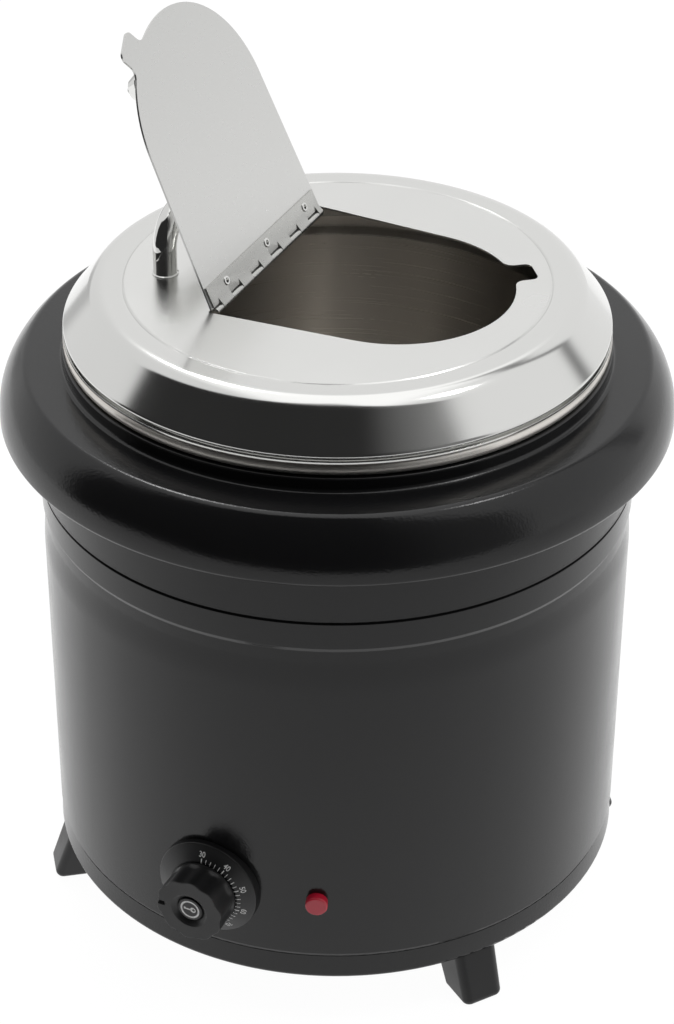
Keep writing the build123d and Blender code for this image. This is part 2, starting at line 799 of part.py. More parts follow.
def make_control_knob():
    narrowing = knob_length * tan(radians(knob_draft_angle))
    base = Pos(0, 0, knob_back) * Circle(knob_radius)
    front = Pos(0, 0, knob_front) * Circle(knob_radius - narrowing)
    knob = loft([base, front])
    knob = fillet(knob.faces().sort_by(Axis.Z)[-1].edges(), knob_edge)
    run_out = sqrt(flute_radius**2 - (flute_radius - flute_depth) ** 2)
    flute_low = knob_back + flute_start + run_out
    flute = rod(flute_radius, flute_low, knob_front) + Pos(0, 0, flute_low) * Sphere(flute_radius)
    for place in PolarLocations(knob_radius + flute_radius - flute_depth, flute_count):
        knob -= place * flute
    knob -= turned([
        (0, dish_floor), (cap_radius + fit_gap, dish_floor), (dish_radius, knob_front), (0, knob_front),
    ])
    knob -= Pos(0, 0, knob_back) * extrude(shaft_section(fit_gap), shaft_end + fit_gap - knob_back)
    groove = Box(pointer_length * 2, pointer_width, pointer_width)
    knob -= Pos(-knob_radius, 0, knob_front) * Rot(45, 0, 0) * groove
    return dial * knob


def make_knob_cap():
    cap = rod(cap_radius, dish_floor, dish_floor + cap_thickness)
    return dial * chamfer(cap.faces().sort_by(Axis.Z)[-1].edges(), cap_thickness / 3)


def make_thermostat_shaft():
    inner = thermostat_front - thermostat_depth / 2
    round_end = rod(shaft_radius, inner, bezel_face)
    flat_end = Pos(0, 0, bezel_face) * extrude(shaft_section(0), shaft_end - bezel_face)
    return dial * (round_end + flat_end)


def make_thermostat_bracket():
    front = -thermostat_setback
    width = thermostat_width + bracket_margin * 2
    height = thermostat_height + bracket_margin * 2
    section = RectangleRounded(width, height, bracket_margin)
    plate = Pos(0, 0, thermostat_front) * extrude(section, bracket_wall)
    plate -= rod(bushing_radius + fit_gap, thermostat_front, front)
    for side in (-1, 1):
        boss = Pos(side * dial_screw_spread, 0, 0)
        plate += boss * rod(bracket_boss_radius, front, 0)
        plate -= boss * rod(small_screw_radius + fit_gap, thermostat_front, 0)
    return dial * plate & body_cylinder(body_radius - body_wall - fit_gap)


def make_thermostat_body():
    back = thermostat_front - thermostat_depth
    section = RectangleRounded(thermostat_width, thermostat_height, bracket_margin)
    case = Pos(0, 0, back) * extrude(section, thermostat_depth)
    case += rod(bushing_radius, thermostat_front, -body_wall - lift_gap)
    case -= rod(shaft_radius + fit_gap, thermostat_front - thermostat_depth / 2 - fit_gap, 0)
    for side in (-1, 1):
        tunnel = rod(small_screw_radius + fit_gap, thermostat_front - nut_height, thermostat_front)
        case -= Pos(side * dial_screw_spread, 0, 0) * tunnel
        blade = Box(*blade_size, align=(Align.CENTER, Align.CENTER, Align.MAX))
        case += Pos(side * thermostat_width / 4, -thermostat_height / 4, back) * blade
    return dial * case


def make_thermostat_screws():
    length = bezel_floor - thermostat_front + nut_height - fit_gap
    one = Pos(0, 0, bezel_floor) * Rot(180, 0, 0) * screw(small_screw_radius, length)
    return [dial * Pos(side * dial_screw_spread, 0, 0) * one for side in (-1, 1)]


def make_thermostat_bulb():
    y = bulb_inset - well_flat
    half = bulb_length / 2
    bulb = Pos(-half, y, bulb_z) * Rot(0, 90, 0) * rod(bulb_radius, 0, bulb_length)
    bulb = fillet(bulb.edges().filter_by(GeomType.CIRCLE), bulb_radius / 2)
    back = thermostat_depth - thermostat_front - body_radius
    loop = half + capillary_loop
    low = bulb_z - capillary_drop
    path = FilletPolyline(
        (bulb_radius - half, y, bulb_z),
        (-loop, y, bulb_z),
        (-loop, y, low),
        (-capillary_entry, y, low),
        (-capillary_entry, back, low),
        radius=capillary_bend,
    )
    return bulb + sweep(Plane(origin=path @ 0, z_dir=path % 0) * Circle(capillary_radius), path=path)


def make_bulb_clip():
    inner = bulb_radius + fit_gap
    outer = inner + clip_wall
    strap = Circle(outer) & (Pos(0, -outer / 2) * Rectangle(outer * 2, outer))
    strap += Pos(0, inner / 2) * Rectangle(outer * 2, inner)
    strap -= Circle(inner)
    strap -= Pos(0, inner / 2) * Rectangle(inner * 2, inner)
    foot = Rectangle(clip_foot, clip_wall)
    for side in (-1, 1):
        strap += Pos(side * (outer + clip_foot / 2 - clip_wall / 2), inner - clip_wall / 2) * foot
    bar = extrude(strap, clip_width / 2, both=True)
    return Plane(origin=(0, bulb_inset - well_flat, bulb_z), x_dir=(0, 1, 0), z_dir=(1, 0, 0)) * bar


# Pilot lamp pieces

def make_lamp_lens():
    lens = rod(lens_radius, -lens_radius, lens_front)
    lens = fillet(lens.faces().sort_by(Axis.Z)[-1].edges(), lens_edge)
    return lamp * lens - body_cylinder(body_radius + fit_gap)


def make_lamp_body():
    barrel = lamp * rod(lamp_barrel_radius, -lamp_barrel_length, lens_radius)
    barrel &= body_cylinder(body_radius)
    blade = Box(*blade_size, align=(Align.CENTER, Align.CENTER, Align.MAX))
    for side in (-1, 1):
        barrel += lamp * Pos(side * lamp_barrel_radius / 2, 0, -lamp_barrel_length) * blade
    return barrel


def make_lamp_nut():
    nut = rod(lamp_nut_radius, -lamp_nut_height - body_wall, 0)
    nut -= rod(lamp_barrel_radius + fit_gap, -lamp_nut_height - body_wall, 0)
    return lamp * nut & body_cylinder(body_radius - body_wall - fit_gap)


# Cord gland and terminal block

def make_gland_body():
    body = hexagon(gland_flats, -body_wall, gland_hex_height)
    body = gland * body - body_cylinder(body_radius + fit_gap)
    thread = gland * rod(gland_thread_radius, -gland_thread_length, gland_hex_height)
    return body + thread - gland * rod(gland_bore, -gland_thread_length, gland_hex_height)


def make_gland_cap():
    edge = gland_bore / 2
    cap = turned([
        (gland_bore, gland_hex_height),
        (gland_cap_radius, gland_hex_height),
        (gland_cap_radius, gland_cap_end - gland_cap_mouth),
        (gland_cap_mouth, gland_cap_end),
        (gland_bore, gland_cap_end),
    ])
    shoulder = cap.edges().filter_by(GeomType.CIRCLE).group_by(SortBy.RADIUS)[-1].sort_by(Axis.Z)[-1]
    cap = fillet(shoulder, edge)
    rib = rod(gland_rib_radius, gland_hex_height, gland_cap_end - gland_cap_mouth - edge)
    for place in PolarLocations(gland_cap_radius, gland_rib_count):
        cap -= place * rib
    return gland * cap


def make_gland_locknut():
    low = -body_wall - locknut_height - gland_flats / 12
    nut = hexagon(locknut_flats, low, 0) - rod(gland_thread_radius + fit_gap, low, 0)
    return gland * nut & body_cylinder(body_radius - body_wall - fit_gap)


def make_terminal_block():
    block = extrude(RectangleRounded(block_length, block_width, bracket_wall), block_height)
    block -= rod(small_screw_radius + fit_gap, 0, block_height)
    for pole in range(pole_count):
        x = (pole - (pole_count - 1) / 2) * pole_pitch
        for side in (-1, 1):
            screw_hole = rod(pole_hole_radius, block_height / 2, block_height)
            block -= Pos(x, side * block_width / 4, 0) * screw_hole
        block -= Pos(x, 0, block_height / 2) * Rot(90, 0, 0) * Cylinder(pole_entry_radius, block_width)
    return Pos(*block_place, body_low + pan_wall) * block


def make_block_screw():
    return Pos(*block_place, body_low) * screw(small_screw_radius, pan_wall + block_height / 3)


# Every node is written to its own file

nodes = {
    "outer_shell": make_outer_shell(),
    "base_pan": make_base_pan(),
    "foot_screws": make_foot_screws(),
    "foot_nuts": make_foot_nuts(),
    "base_screws": make_base_screws(),
    "collar_ring": make_collar_ring(),
    "collar_screws": make_collar_screws(),
    "water_well": make_water_well(),
    "heating_element": make_heating_element(),
    "heater_clamp": make_heater_clamp(),
    "clamp_nut": make_clamp_nut(),
    "thermal_cutout": make_thermal_cutout(),
    "thermostat_body": make_thermostat_body(),
    "thermostat_bracket": make_thermostat_bracket(),
    "thermostat_screws": make_thermostat_screws(),
    "thermostat_bulb": make_thermostat_bulb(),
    "bulb_clip": make_bulb_clip(),
    "dial_bezel": make_dial_bezel(),
    "lamp_lens": make_lamp_lens(),
    "lamp_body": make_lamp_body(),
    "lamp_nut": make_lamp_nut(),
    "gland_body": make_gland_body(),
    "gland_cap": make_gland_cap(),
    "gland_locknut": make_gland_locknut(),
    "terminal_block": make_terminal_block(),
    "block_screw": make_block_screw(),
    "control_knob": make_control_knob(),
    "knob_cap": make_knob_cap(),
    "thermostat_shaft": make_thermostat_shaft(),
    "soup_pot": make_soup_pot(),
    "lid_shell": make_lid_shell(),
    "lid_rim": make_lid_rim(),
    "lid_handle": make_lid_handle(),
    "hinge_leaf_lid": make_hinge_leaf(-1),
    "hinge_pin": make_hinge_pin(),
    "lid_rivets": make_hinge_rivets(-1),
    "lid_flap": make_lid_flap(),
    "hinge_leaf_flap": opened(make_hinge_leaf(1)),
    "flap_rivets": [opened(rivet) for rivet in make_hinge_rivets(1)],
    "flap_knob": make_flap_knob(),
}
foot_names = ("foot_front_right", "foot_rear_right", "foot_rear_left", "foot_front_left")
for name, turn in zip(foot_names, foot_turns):
    nodes[name] = Rot(0, 0, turn) * make_foot()

os.makedirs("parts", exist_ok=True)
for name, shape in nodes.items():
    if isinstance(shape, list):
        shape = Compound(shape)
    export_step(shape, f"parts/{name}.step")
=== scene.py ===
import bpy
import bmesh
from math import atan2, cos, hypot, pi, radians, sin
from mathutils import Matrix, Vector


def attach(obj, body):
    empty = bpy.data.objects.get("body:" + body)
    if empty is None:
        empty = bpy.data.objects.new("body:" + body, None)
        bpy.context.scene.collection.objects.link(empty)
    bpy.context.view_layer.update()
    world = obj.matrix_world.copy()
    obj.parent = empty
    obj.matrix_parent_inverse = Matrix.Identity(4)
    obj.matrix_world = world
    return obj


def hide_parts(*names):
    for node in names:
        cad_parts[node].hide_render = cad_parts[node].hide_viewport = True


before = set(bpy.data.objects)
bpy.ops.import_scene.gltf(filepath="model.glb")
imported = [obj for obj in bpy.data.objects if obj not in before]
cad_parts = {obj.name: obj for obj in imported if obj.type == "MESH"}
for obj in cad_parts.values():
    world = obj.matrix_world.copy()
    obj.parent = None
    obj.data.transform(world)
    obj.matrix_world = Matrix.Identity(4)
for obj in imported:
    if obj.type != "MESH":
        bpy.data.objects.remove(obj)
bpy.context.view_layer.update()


# Base pan: a pressed steel tray that closes the kettle's underside, with cooling slots. Its upturned
# skirt draws in a little towards its top edge, where the body's foot meets it. Powder coated like the body.

mm = 0.001


def srgb(hex_code):
    """Linear colour of an sRGB hex value."""
    parts = [int(hex_code[i:i + 2], 16) / 255 for i in (1, 3, 5)]
    return [c / 12.92 if c <= 0.04045 else ((c + 0.055) / 1.055) ** 2.4 for c in parts] + [1.0]


def add(tree, kind, inputs=(), **settings):
    """A node with its settings, its inputs filled with values or linked to other nodes' sockets."""
    made = tree.nodes.new(kind)
    for name, value in settings.items():
        setattr(made, name, value)
    for key, value in dict(inputs).items():
        if isinstance(value, bpy.types.NodeSocket):
            tree.links.new(value, made.inputs[key])
        else:
            made.inputs[key].default_value = value
    return made


def start_material(name, hex_code, roughness, metallic=0.0):
    """A material with the real one's name, its shader and its Object coordinates."""
    made = bpy.data.materials.new(name)
    made.use_nodes = True
    shader = made.node_tree.nodes["Principled BSDF"]
    shader.inputs["Base Color"].default_value = srgb(hex_code)
    shader.inputs["Roughness"].default_value = roughness
    shader.inputs["Metallic"].default_value = metallic
    place = add(made.node_tree, "ShaderNodeTexCoord").outputs["Object"]
    return made, made.node_tree, shader, place


# Epoxy powder coat, sprayed and baked to a gloss: a fine orange peel that only shows where a
# reflection ends. The real peel is about 0.7 mm and is drawn at 1.3 mm so that it shows.
powder_coat, tree, shader, place = start_material("glossy black powder coat", "#19191A", 0.17)
shader.inputs["IOR"].default_value = 1.46
peel = add(tree, "ShaderNodeTexNoise", {"Vector": place, "Scale": 1 / (1.3 * mm), "Detail": 2.0})
bump = add(tree, "ShaderNodeBump", {"Height": peel.outputs["Fac"], "Strength": 0.9, "Distance": 0.08 * mm})
tree.links.new(bump.outputs["Normal"], shader.inputs["Normal"])
cloud = add(tree, "ShaderNodeTexNoise", {"Vector": place, "Scale": 1 / (30 * mm), "Detail": 3.0})
sheen = add(tree, "ShaderNodeMapRange", {"Value": cloud.outputs["Fac"], 1: 0.0, 2: 1.0, 3: 0.095, 4: 0.245})
tree.links.new(sheen.outputs["Result"], shader.inputs["Roughness"])

shading = bpy.data.node_groups.new("even shading", "GeometryNodeTree")
shading.interface.new_socket("Geometry", in_out="INPUT", socket_type="NodeSocketGeometry")
shading.interface.new_socket("Geometry", in_out="OUTPUT", socket_type="NodeSocketGeometry")
crease_socket = shading.interface.new_socket("Crease angle", in_out="INPUT", socket_type="NodeSocketFloat")
entry = add(shading, "NodeGroupInput")
merged = add(shading, "GeometryNodeMergeByDistance", {"Geometry": entry.outputs[0], "Distance": 0.002 * mm})
smooth = add(shading, "GeometryNodeSetShadeSmooth", {"Geometry": merged.outputs[0], "Shade Smooth": True})
angle = add(shading, "GeometryNodeInputMeshEdgeAngle")
sharp = add(shading, "FunctionNodeCompare", {0: angle.outputs["Unsigned Angle"], 1: entry.outputs[1]},
            data_type="FLOAT", operation="GREATER_THAN")
creased = add(shading, "GeometryNodeSetShadeSmooth", {
    "Geometry": smooth.outputs[0], "Selection": sharp.outputs[0], "Shade Smooth": False}, domain="EDGE")
add(shading, "NodeGroupOutput", {0: creased.outputs[0]})


def shade_evenly(piece, crease=20.0):
    """Smooth normals that break at creases and lean towards the larger faces."""
    even = piece.modifiers.new("even shading", "NODES")
    even.node_group = shading
    even[crease_socket.identifier] = radians(crease)
    weighted = piece.modifiers.new("weighted normals", "WEIGHTED_NORMAL")
    weighted.keep_sharp = True
    weighted.weight = 90


def dress(material, *names):
    """Gives CAD nodes a material and even shading."""
    for name in names:
        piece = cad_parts[name]
        piece.data.materials.clear()
        piece.data.materials.append(material)
        shade_evenly(piece)


def copy_of(node):
    """A bmesh of a CAD node with its doubled corners joined."""
    made = bmesh.new()
    made.from_mesh(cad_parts[node].data)
    bmesh.ops.remove_doubles(made, verts=made.verts, dist=0.002 * mm)
    return made


def stand_in(name, form, material, body, node):
    """An object from a bmesh, in the place of a CAD node."""
    mesh = bpy.data.meshes.new(name)
    form.to_mesh(mesh)
    form.free()
    mesh.materials.append(material)
    made = bpy.data.objects.new(name, mesh)
    bpy.context.scene.collection.objects.link(made)
    shade_evenly(made)
    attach(made, body)
    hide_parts(node)


body_ring, skirt_top, skirt_draw = 152.3, 42.5, 0.88
pan_form = copy_of("base_pan")
for corner in pan_form.verts:
    reach = hypot(corner.co.x, corner.co.y)
    if reach > (body_ring - 0.1) * mm and corner.co.z > (skirt_top - 0.5) * mm:
        corner.co.xy *= (body_ring - skirt_draw) * mm / reach
stand_in("base_pan_pressed", pan_form, powder_coat, "housing", "base_pan")


# Feet: four splayed legs, moulded in black plastic. Each has a flat pad that lies under the base pan and is
# held there by a screw and a nut.

# Acrylonitrile butadiene styrene, injection moulded in a spark-eroded mould: a matt, slightly uneven
# skin. The real texture is 0.3 mm and is drawn at 0.7 mm.
black_abs, tree, shader, place = start_material("moulded black ABS", "#1B1B1C", 0.38)
skin = add(tree, "ShaderNodeTexNoise", {"Vector": place, "Scale": 1 / (0.7 * mm), "Detail": 1.0})
bump = add(tree, "ShaderNodeBump", {"Height": skin.outputs["Fac"], "Strength": 0.35, "Distance": 0.03 * mm})
tree.links.new(bump.outputs["Normal"], shader.inputs["Normal"])
flow = add(tree, "ShaderNodeTexNoise", {"Vector": place, "Scale": 1 / (18 * mm), "Detail": 2.0})
gloss = add(tree, "ShaderNodeMapRange", {"Value": flow.outputs["Fac"], 1: 0.0, 2: 1.0, 3: 0.255, 4: 0.505})
tree.links.new(gloss.outputs["Result"], shader.inputs["Roughness"])

dress(black_abs, "foot_front_right", "foot_rear_right", "foot_rear_left", "foot_front_left")


# Screws below the kettle: pan heads with a cross recess, four through the feet, four that hold the pan
# to the body and one for the terminal block. Cold-headed steel, zinc plated.

# Bright zinc on steel: a cool grey metal with a faint cloudy tint left by the passivation.
zinc, tree, shader, place = start_material("bright zinc plated steel", "#B4B7BA", 0.32, 1.0)
cloud = add(tree, "ShaderNodeTexNoise", {"Vector": place, "Scale": 1 / (6 * mm), "Detail": 3.0})
tint = add(tree, "ShaderNodeMix", {
    "Factor": cloud.outputs["Fac"], "A": srgb("#A9AEB6"), "B": srgb("#BDBBAF")}, data_type="RGBA")
tree.links.new(tint.outputs["Result"], shader.inputs["Base Color"])

screws = bpy.data.node_groups.new("cross recess screws", "GeometryNodeTree")
screws.interface.new_socket("Seats", in_out="INPUT", socket_type="NodeSocketGeometry")
screws.interface.new_socket("Geometry", in_out="OUTPUT", socket_type="NodeSocketGeometry")
screw_sockets = {}
for title, kind in (("Head radius", "Float"), ("Head height", "Float"), ("Shank radius", "Float"),
                    ("Shank length", "Float"), ("Finish", "Material")):
    socket = screws.interface.new_socket(title, in_out="INPUT", socket_type=f"NodeSocket{kind}")
    screw_sockets[title] = socket.identifier
entry = add(screws, "NodeGroupInput").outputs
dome = add(screws, "GeometryNodeMeshUVSphere", {"Segments": 32, "Rings": 20, "Radius": 1.0})
bulge = add(screws, "ShaderNodeCombineXYZ", {"X": entry["Head radius"], "Y": entry["Head radius"],
                                             "Z": entry["Head height"]})
head = add(screws, "GeometryNodeTransform", {"Geometry": dome.outputs["Mesh"], "Scale": bulge.outputs[0]})
slot_long = add(screws, "ShaderNodeMath", {0: entry["Head radius"], 1: 1.15}, operation="MULTIPLY")
slot_wide = add(screws, "ShaderNodeMath", {0: entry["Head radius"], 1: 0.2}, operation="MULTIPLY")
slot_deep = add(screws, "ShaderNodeMath", {0: entry["Head height"], 1: 1.3}, operation="MULTIPLY")
slot_low = add(screws, "ShaderNodeMath", {0: entry["Head height"], 1: -1.0}, operation="MULTIPLY")
slot_drop = add(screws, "ShaderNodeCombineXYZ", {"Z": slot_low.outputs[0]})
cuts = []
for first, second in ((slot_long, slot_wide), (slot_wide, slot_long)):
    size = add(screws, "ShaderNodeCombineXYZ", {"X": first.outputs[0], "Y": second.outputs[0],
                                                "Z": slot_deep.outputs[0]})
    bar = add(screws, "GeometryNodeMeshCube", {"Size": size.outputs[0]})
    cuts.append(add(screws, "GeometryNodeTransform", {"Geometry": bar.outputs["Mesh"],
                                                      "Translation": slot_drop.outputs[0]}))
wide = add(screws, "ShaderNodeMath", {0: entry["Head radius"], 1: 3.0}, operation="MULTIPLY")
half = add(screws, "ShaderNodeMath", {0: wide.outputs[0], 1: 0.5}, operation="MULTIPLY")
cover = add(screws, "ShaderNodeCombineXYZ", {"X": wide.outputs[0], "Y": wide.outputs[0],
                                             "Z": wide.outputs[0]})
above = add(screws, "ShaderNodeCombineXYZ", {"Z": half.outputs[0]})
block = add(screws, "GeometryNodeMeshCube", {"Size": cover.outputs[0]})
upper = add(screws, "GeometryNodeTransform", {"Geometry": block.outputs["Mesh"],
                                              "Translation": above.outputs[0]})
cut_head = add(screws, "GeometryNodeMeshBoolean", {"Mesh 1": head.outputs[0]}, operation="DIFFERENCE")
for piece in (upper, *cuts):
    screws.links.new(piece.outputs[0], cut_head.inputs["Mesh 2"])
shank = add(screws, "GeometryNodeMeshCylinder", {"Vertices": 24, "Radius": entry["Shank radius"],
                                                 "Depth": entry["Shank length"]})
shank_half = add(screws, "ShaderNodeMath", {0: entry["Shank length"], 1: 0.5}, operation="MULTIPLY")
shank_up = add(screws, "ShaderNodeCombineXYZ", {"Z": shank_half.outputs[0]})
shank_set = add(screws, "GeometryNodeTransform", {"Geometry": shank.outputs["Mesh"],
                                                  "Translation": shank_up.outputs[0]})
whole = add(screws, "GeometryNodeJoinGeometry")
screws.links.new(cut_head.outputs["Mesh"], whole.inputs[0])
screws.links.new(shank_set.outputs[0], whole.inputs[0])
rows = add(screws, "GeometryNodeInstanceOnPoints", {"Points": entry["Seats"], "Instance": whole.outputs[0]})
real = add(screws, "GeometryNodeRealizeInstances", {"Geometry": rows.outputs[0]})
coloured = add(screws, "GeometryNodeSetMaterial", {"Geometry": real.outputs[0], "Material": entry["Finish"]})
add(screws, "NodeGroupOutput", {0: coloured.outputs[0]})


def grow(name, group, settings, host=None):
    """A plain mesh object from a Geometry Nodes group with its inputs set by identifier."""
    maker = bpy.data.objects.new(name + ".maker", host or bpy.data.meshes.new(name + ".host"))
    bpy.context.scene.collection.objects.link(maker)
    nodes = maker.modifiers.new(name, "NODES")
    nodes.node_group = group
    for identifier, value in settings.items():
        nodes[identifier] = value
    seen = maker.evaluated_get(bpy.context.evaluated_depsgraph_get())
    mesh = bpy.data.meshes.new_from_object(seen)
    mesh.name = name
    bpy.data.objects.remove(maker)
    made = bpy.data.objects.new(name, mesh)
    bpy.context.scene.collection.objects.link(made)
    return made


screw_head_share, screw_head_height = 1.9, 2.4


def place_screws(name, node, seats, height, shank_radius, length):
    """One group of like screws in the place of its CAD node."""
    host = bpy.data.meshes.new(name + ".seats")
    host.from_pydata([(x * mm, y * mm, height * mm) for x, y in seats], [], [])
    values = {"Head radius": shank_radius * screw_head_share * mm, "Head height": screw_head_height * mm,
              "Shank radius": shank_radius * mm, "Shank length": length * mm, "Finish": zinc}
    made = grow(name, screws, {screw_sockets[title]: value for title, value in values.items()}, host)
    shade_evenly(made, crease=35.0)
    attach(made, "housing")
    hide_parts(node)


def on_ring(radius, *turns):
    """Places on a circle round the kettle's axis."""
    return [(radius * cos(radians(turn)), radius * sin(radians(turn))) for turn in turns]


pan_underside, pad_underside = 28.0, 22.0
large_shank, small_shank = 2.5, 1.75
foot_seats = on_ring(111.5, -36, 36, 144, 216)
pan_seats = on_ring(145.1, 5.5, 95.5, 185.5, 275.5)
block_seats = [(-46, 74)]
place_screws("foot_screw_set", "foot_screws", foot_seats, pad_underside, large_shank, length=11.0)
place_screws("pan_screw_set", "base_screws", pan_seats, pan_underside, small_shank, length=6.0)
place_screws("block_screw_recessed", "block_screw", block_seats, pan_underside, small_shank, length=6.67)
dress(zinc, "foot_nuts")


# Outer shell: a can rolled from steel sheet and powder coated. Under the collar runs a fine dark gap, and
# under the 14 mm band below it a step, whose ramp catches the floor's light. The foot has such a ramp too.


def turn_ring(sheet, profile, steps=360):
    """Adds a ring, turned about the kettle's axis from radius-height points, to a bmesh."""
    rows = []
    for i in range(steps):
        x, y = cos(2 * pi * i / steps) * mm, sin(2 * pi * i / steps) * mm
        rows.append([sheet.verts.new((r * x, r * y, z * mm)) for r, z in profile])
    for i in range(steps):
        here, there = rows[i], rows[(i + 1) % steps]
        for k in range(len(profile) - 1):
            sheet.faces.new((here[k], here[k + 1], there[k + 1], there[k]))


groove_low, groove_high = 235.59, 252.11    # the CAD groove, whose place gap, band and step take
gap_high, gap_low, gap_depth = 251.1, 249.3, 1.1
step_high, step_low, step_depth = 235.7, 232.6, 1.2
taper_length, taper_points = 24.0, 12
foot_rise, foot_drop = 1.2, 0.35            # upper and lower end of the foot's ramp, moved apart
shell_form = copy_of("outer_shell")
groove_faces = []
for face in shell_form.faces:
    reach = min(hypot(corner.co.x, corner.co.y) for corner in face.verts) / mm
    heights = [corner.co.z / mm for corner in face.verts]
    in_groove = min(heights) > groove_low - 0.09 and max(heights) < groove_high + 0.09
    if in_groove and reach > body_ring - step_depth - 0.05:
        groove_faces.append(face)
bmesh.ops.delete(shell_form, geom=groove_faces, context="FACES")
for corner in shell_form.verts:
    reach, level = hypot(corner.co.x, corner.co.y) / mm, corner.co.z / mm
    if reach > body_ring - 0.2:
        if abs(level - groove_low) < 0.05:
            corner.co.z = (step_low - taper_length) * mm
        elif level < skirt_top + 1.5:
            corner.co.z += foot_rise * mm
    elif reach > body_ring - 1.3 and skirt_top < level < skirt_top + 0.4:
        corner.co.z -= foot_drop * mm
dark_gap = [(body_ring, gap_high), (body_ring - 0.1, gap_high - 0.1), (body_ring - gap_depth, gap_high - 0.5),
            (body_ring - gap_depth, gap_low + 0.6), (body_ring - 0.15, gap_low + 0.2), (body_ring, gap_low)]
pale_step = [(body_ring, step_high), (body_ring - 0.1, step_high - 0.35), (body_ring - 1.1, step_high - 2.6)]
for i in range(taper_points + 1):
    inset = step_depth * (1 + cos(pi * i / taper_points)) / 2
    pale_step.append((body_ring - inset, step_low - taper_length * i / taper_points))
turn_ring(shell_form, [(body_ring, groove_high)] + dark_gap + pale_step)
stand_in("outer_shell_stepped", shell_form, powder_coat, "housing", "outer_shell")


# Water well and heater: a drawn stainless pan that holds the bath, with a tubular element pressed
# against its floor by a plate and nut on a welded stud.

# Satin stainless steel, polished on a lathe: fine rings round the axis that draw the reflections
# out into upright streaks. The real lines are about 0.1 mm apart and are drawn at 0.5 mm.
line_spacing = 0.5 * mm
satin_steel, tree, shader, place = start_material("satin stainless steel", "#E0DCD6", 0.29, 1.0)
shader.inputs["Anisotropic"].default_value = 0.9
shader.inputs["Anisotropic Rotation"].default_value = 0.25
lines = add(tree, "ShaderNodeTangent", direction_type="RADIAL", axis="Z")
tree.links.new(lines.outputs["Tangent"], shader.inputs["Tangent"])
split = add(tree, "ShaderNodeSeparateXYZ", {"Vector": place})
radius = add(tree, "ShaderNodeVectorMath", {0: place, 1: (1, 1, 0)}, operation="MULTIPLY")
radius = add(tree, "ShaderNodeVectorMath", {0: radius.outputs[0]}, operation="LENGTH")
around = add(tree, "ShaderNodeMath", {0: split.outputs["Y"], 1: split.outputs["X"]}, operation="ARCTAN2")
radius = add(tree, "ShaderNodeMath", {0: radius.outputs["Value"], 1: 1 / line_spacing}, operation="MULTIPLY")
height = add(tree, "ShaderNodeMath", {0: split.outputs["Z"], 1: 1 / line_spacing}, operation="MULTIPLY")
lathe = add(tree, "ShaderNodeCombineXYZ", {"X": radius.outputs[0], "Y": height.outputs[0],
                                           "Z": around.outputs[0]})
rings = add(tree, "ShaderNodeTexNoise", {"Vector": lathe.outputs[0], "Scale": 1.0, "Detail": 2.0})
bump = add(tree, "ShaderNodeBump", {"Height": rings.outputs["Fac"], "Strength": 0.03, "Distance": 0.02 * mm})
tree.links.new(bump.outputs["Normal"], shader.inputs["Normal"])
dull = add(tree, "ShaderNodeMapRange", {"Value": rings.outputs["Fac"], 1: 0.0, 2: 1.0, 3: 0.24, 4: 0.34})
tree.links.new(dull.outputs["Result"], shader.inputs["Roughness"])

# Nickel alloy sheath of a tubular element, oxidised by its own heat to a dark, blotchy grey.
sheath, tree, shader, place = start_material("heat darkened element sheath", "#4A4640", 0.45, 0.9)
scale = add(tree, "ShaderNodeTexNoise", {"Vector": place, "Scale": 1 / (9 * mm), "Detail": 3.0})
tint = add(tree, "ShaderNodeMix", {
    "Factor": scale.outputs["Fac"], "A": srgb("#3A3836"), "B": srgb("#5C5348")}, data_type="RGBA")
tree.links.new(tint.outputs["Result"], shader.inputs["Base Color"])

# Polyamide mouldings of the bought-in electrical parts: pale, dull and slightly speckled.
pale_plastic, tree, shader, place = start_material("pale moulded polyamide", "#CFC8B8", 0.5)
speck = add(tree, "ShaderNodeTexNoise", {"Vector": place, "Scale": 1 / (1.5 * mm), "Detail": 2.0})
tint = add(tree, "ShaderNodeMix", {
    "Factor": speck.outputs["Fac"], "A": srgb("#C4BCAB"), "B": srgb("#DAD4C6")}, data_type="RGBA")
tree.links.new(tint.outputs["Result"], shader.inputs["Base Color"])

dress(satin_steel, "water_well")
dress(sheath, "heating_element")
dress(zinc, "heater_clamp", "clamp_nut")
dress(pale_plastic, "thermal_cutout")


# Thermostat behind the dial: a moulded plastic case on a screwed bracket of plated steel. A copper tube leads
# from it to the fluid bulb, which a clip holds under the well.

# Drawn copper tube, dulled by handling: warm with darker patches.
copper, tree, shader, place = start_material("drawn copper tube", "#B9714E", 0.34, 1.0)
patch = add(tree, "ShaderNodeTexNoise", {"Vector": place, "Scale": 1 / (12 * mm), "Detail": 3.0})
tint = add(tree, "ShaderNodeMix", {
    "Factor": patch.outputs["Fac"], "A": srgb("#8F5539"), "B": srgb("#C98A66")}, data_type="RGBA")
tree.links.new(tint.outputs["Result"], shader.inputs["Base Color"])

dress(pale_plastic, "thermostat_body")
dress(zinc, "thermostat_bracket", "thermostat_screws", "bulb_clip", "thermostat_shaft")
dress(copper, "thermostat_bulb")


# Dial: a conical moulded bezel with a temperature scale printed in white ink, 30 to 90 degrees with a mark
# every 2 degrees. The numbers stand on its slope, and each mark starts on the level land inside the slope.

# Pad-printed white ink: an opaque, slightly uneven film.
white_ink, tree, shader, place = start_material("white printing ink", "#DADAD8", 0.55)
film = add(tree, "ShaderNodeTexNoise", {"Vector": place, "Scale": 1 / (0.6 * mm), "Detail": 2.0})
tint = add(tree, "ShaderNodeMix", {
    "Factor": film.outputs["Fac"], "A": srgb("#F0F0EE"), "B": srgb("#FFFFFF")}, data_type="RGBA")
tree.links.new(tint.outputs["Result"], shader.inputs["Base Color"])

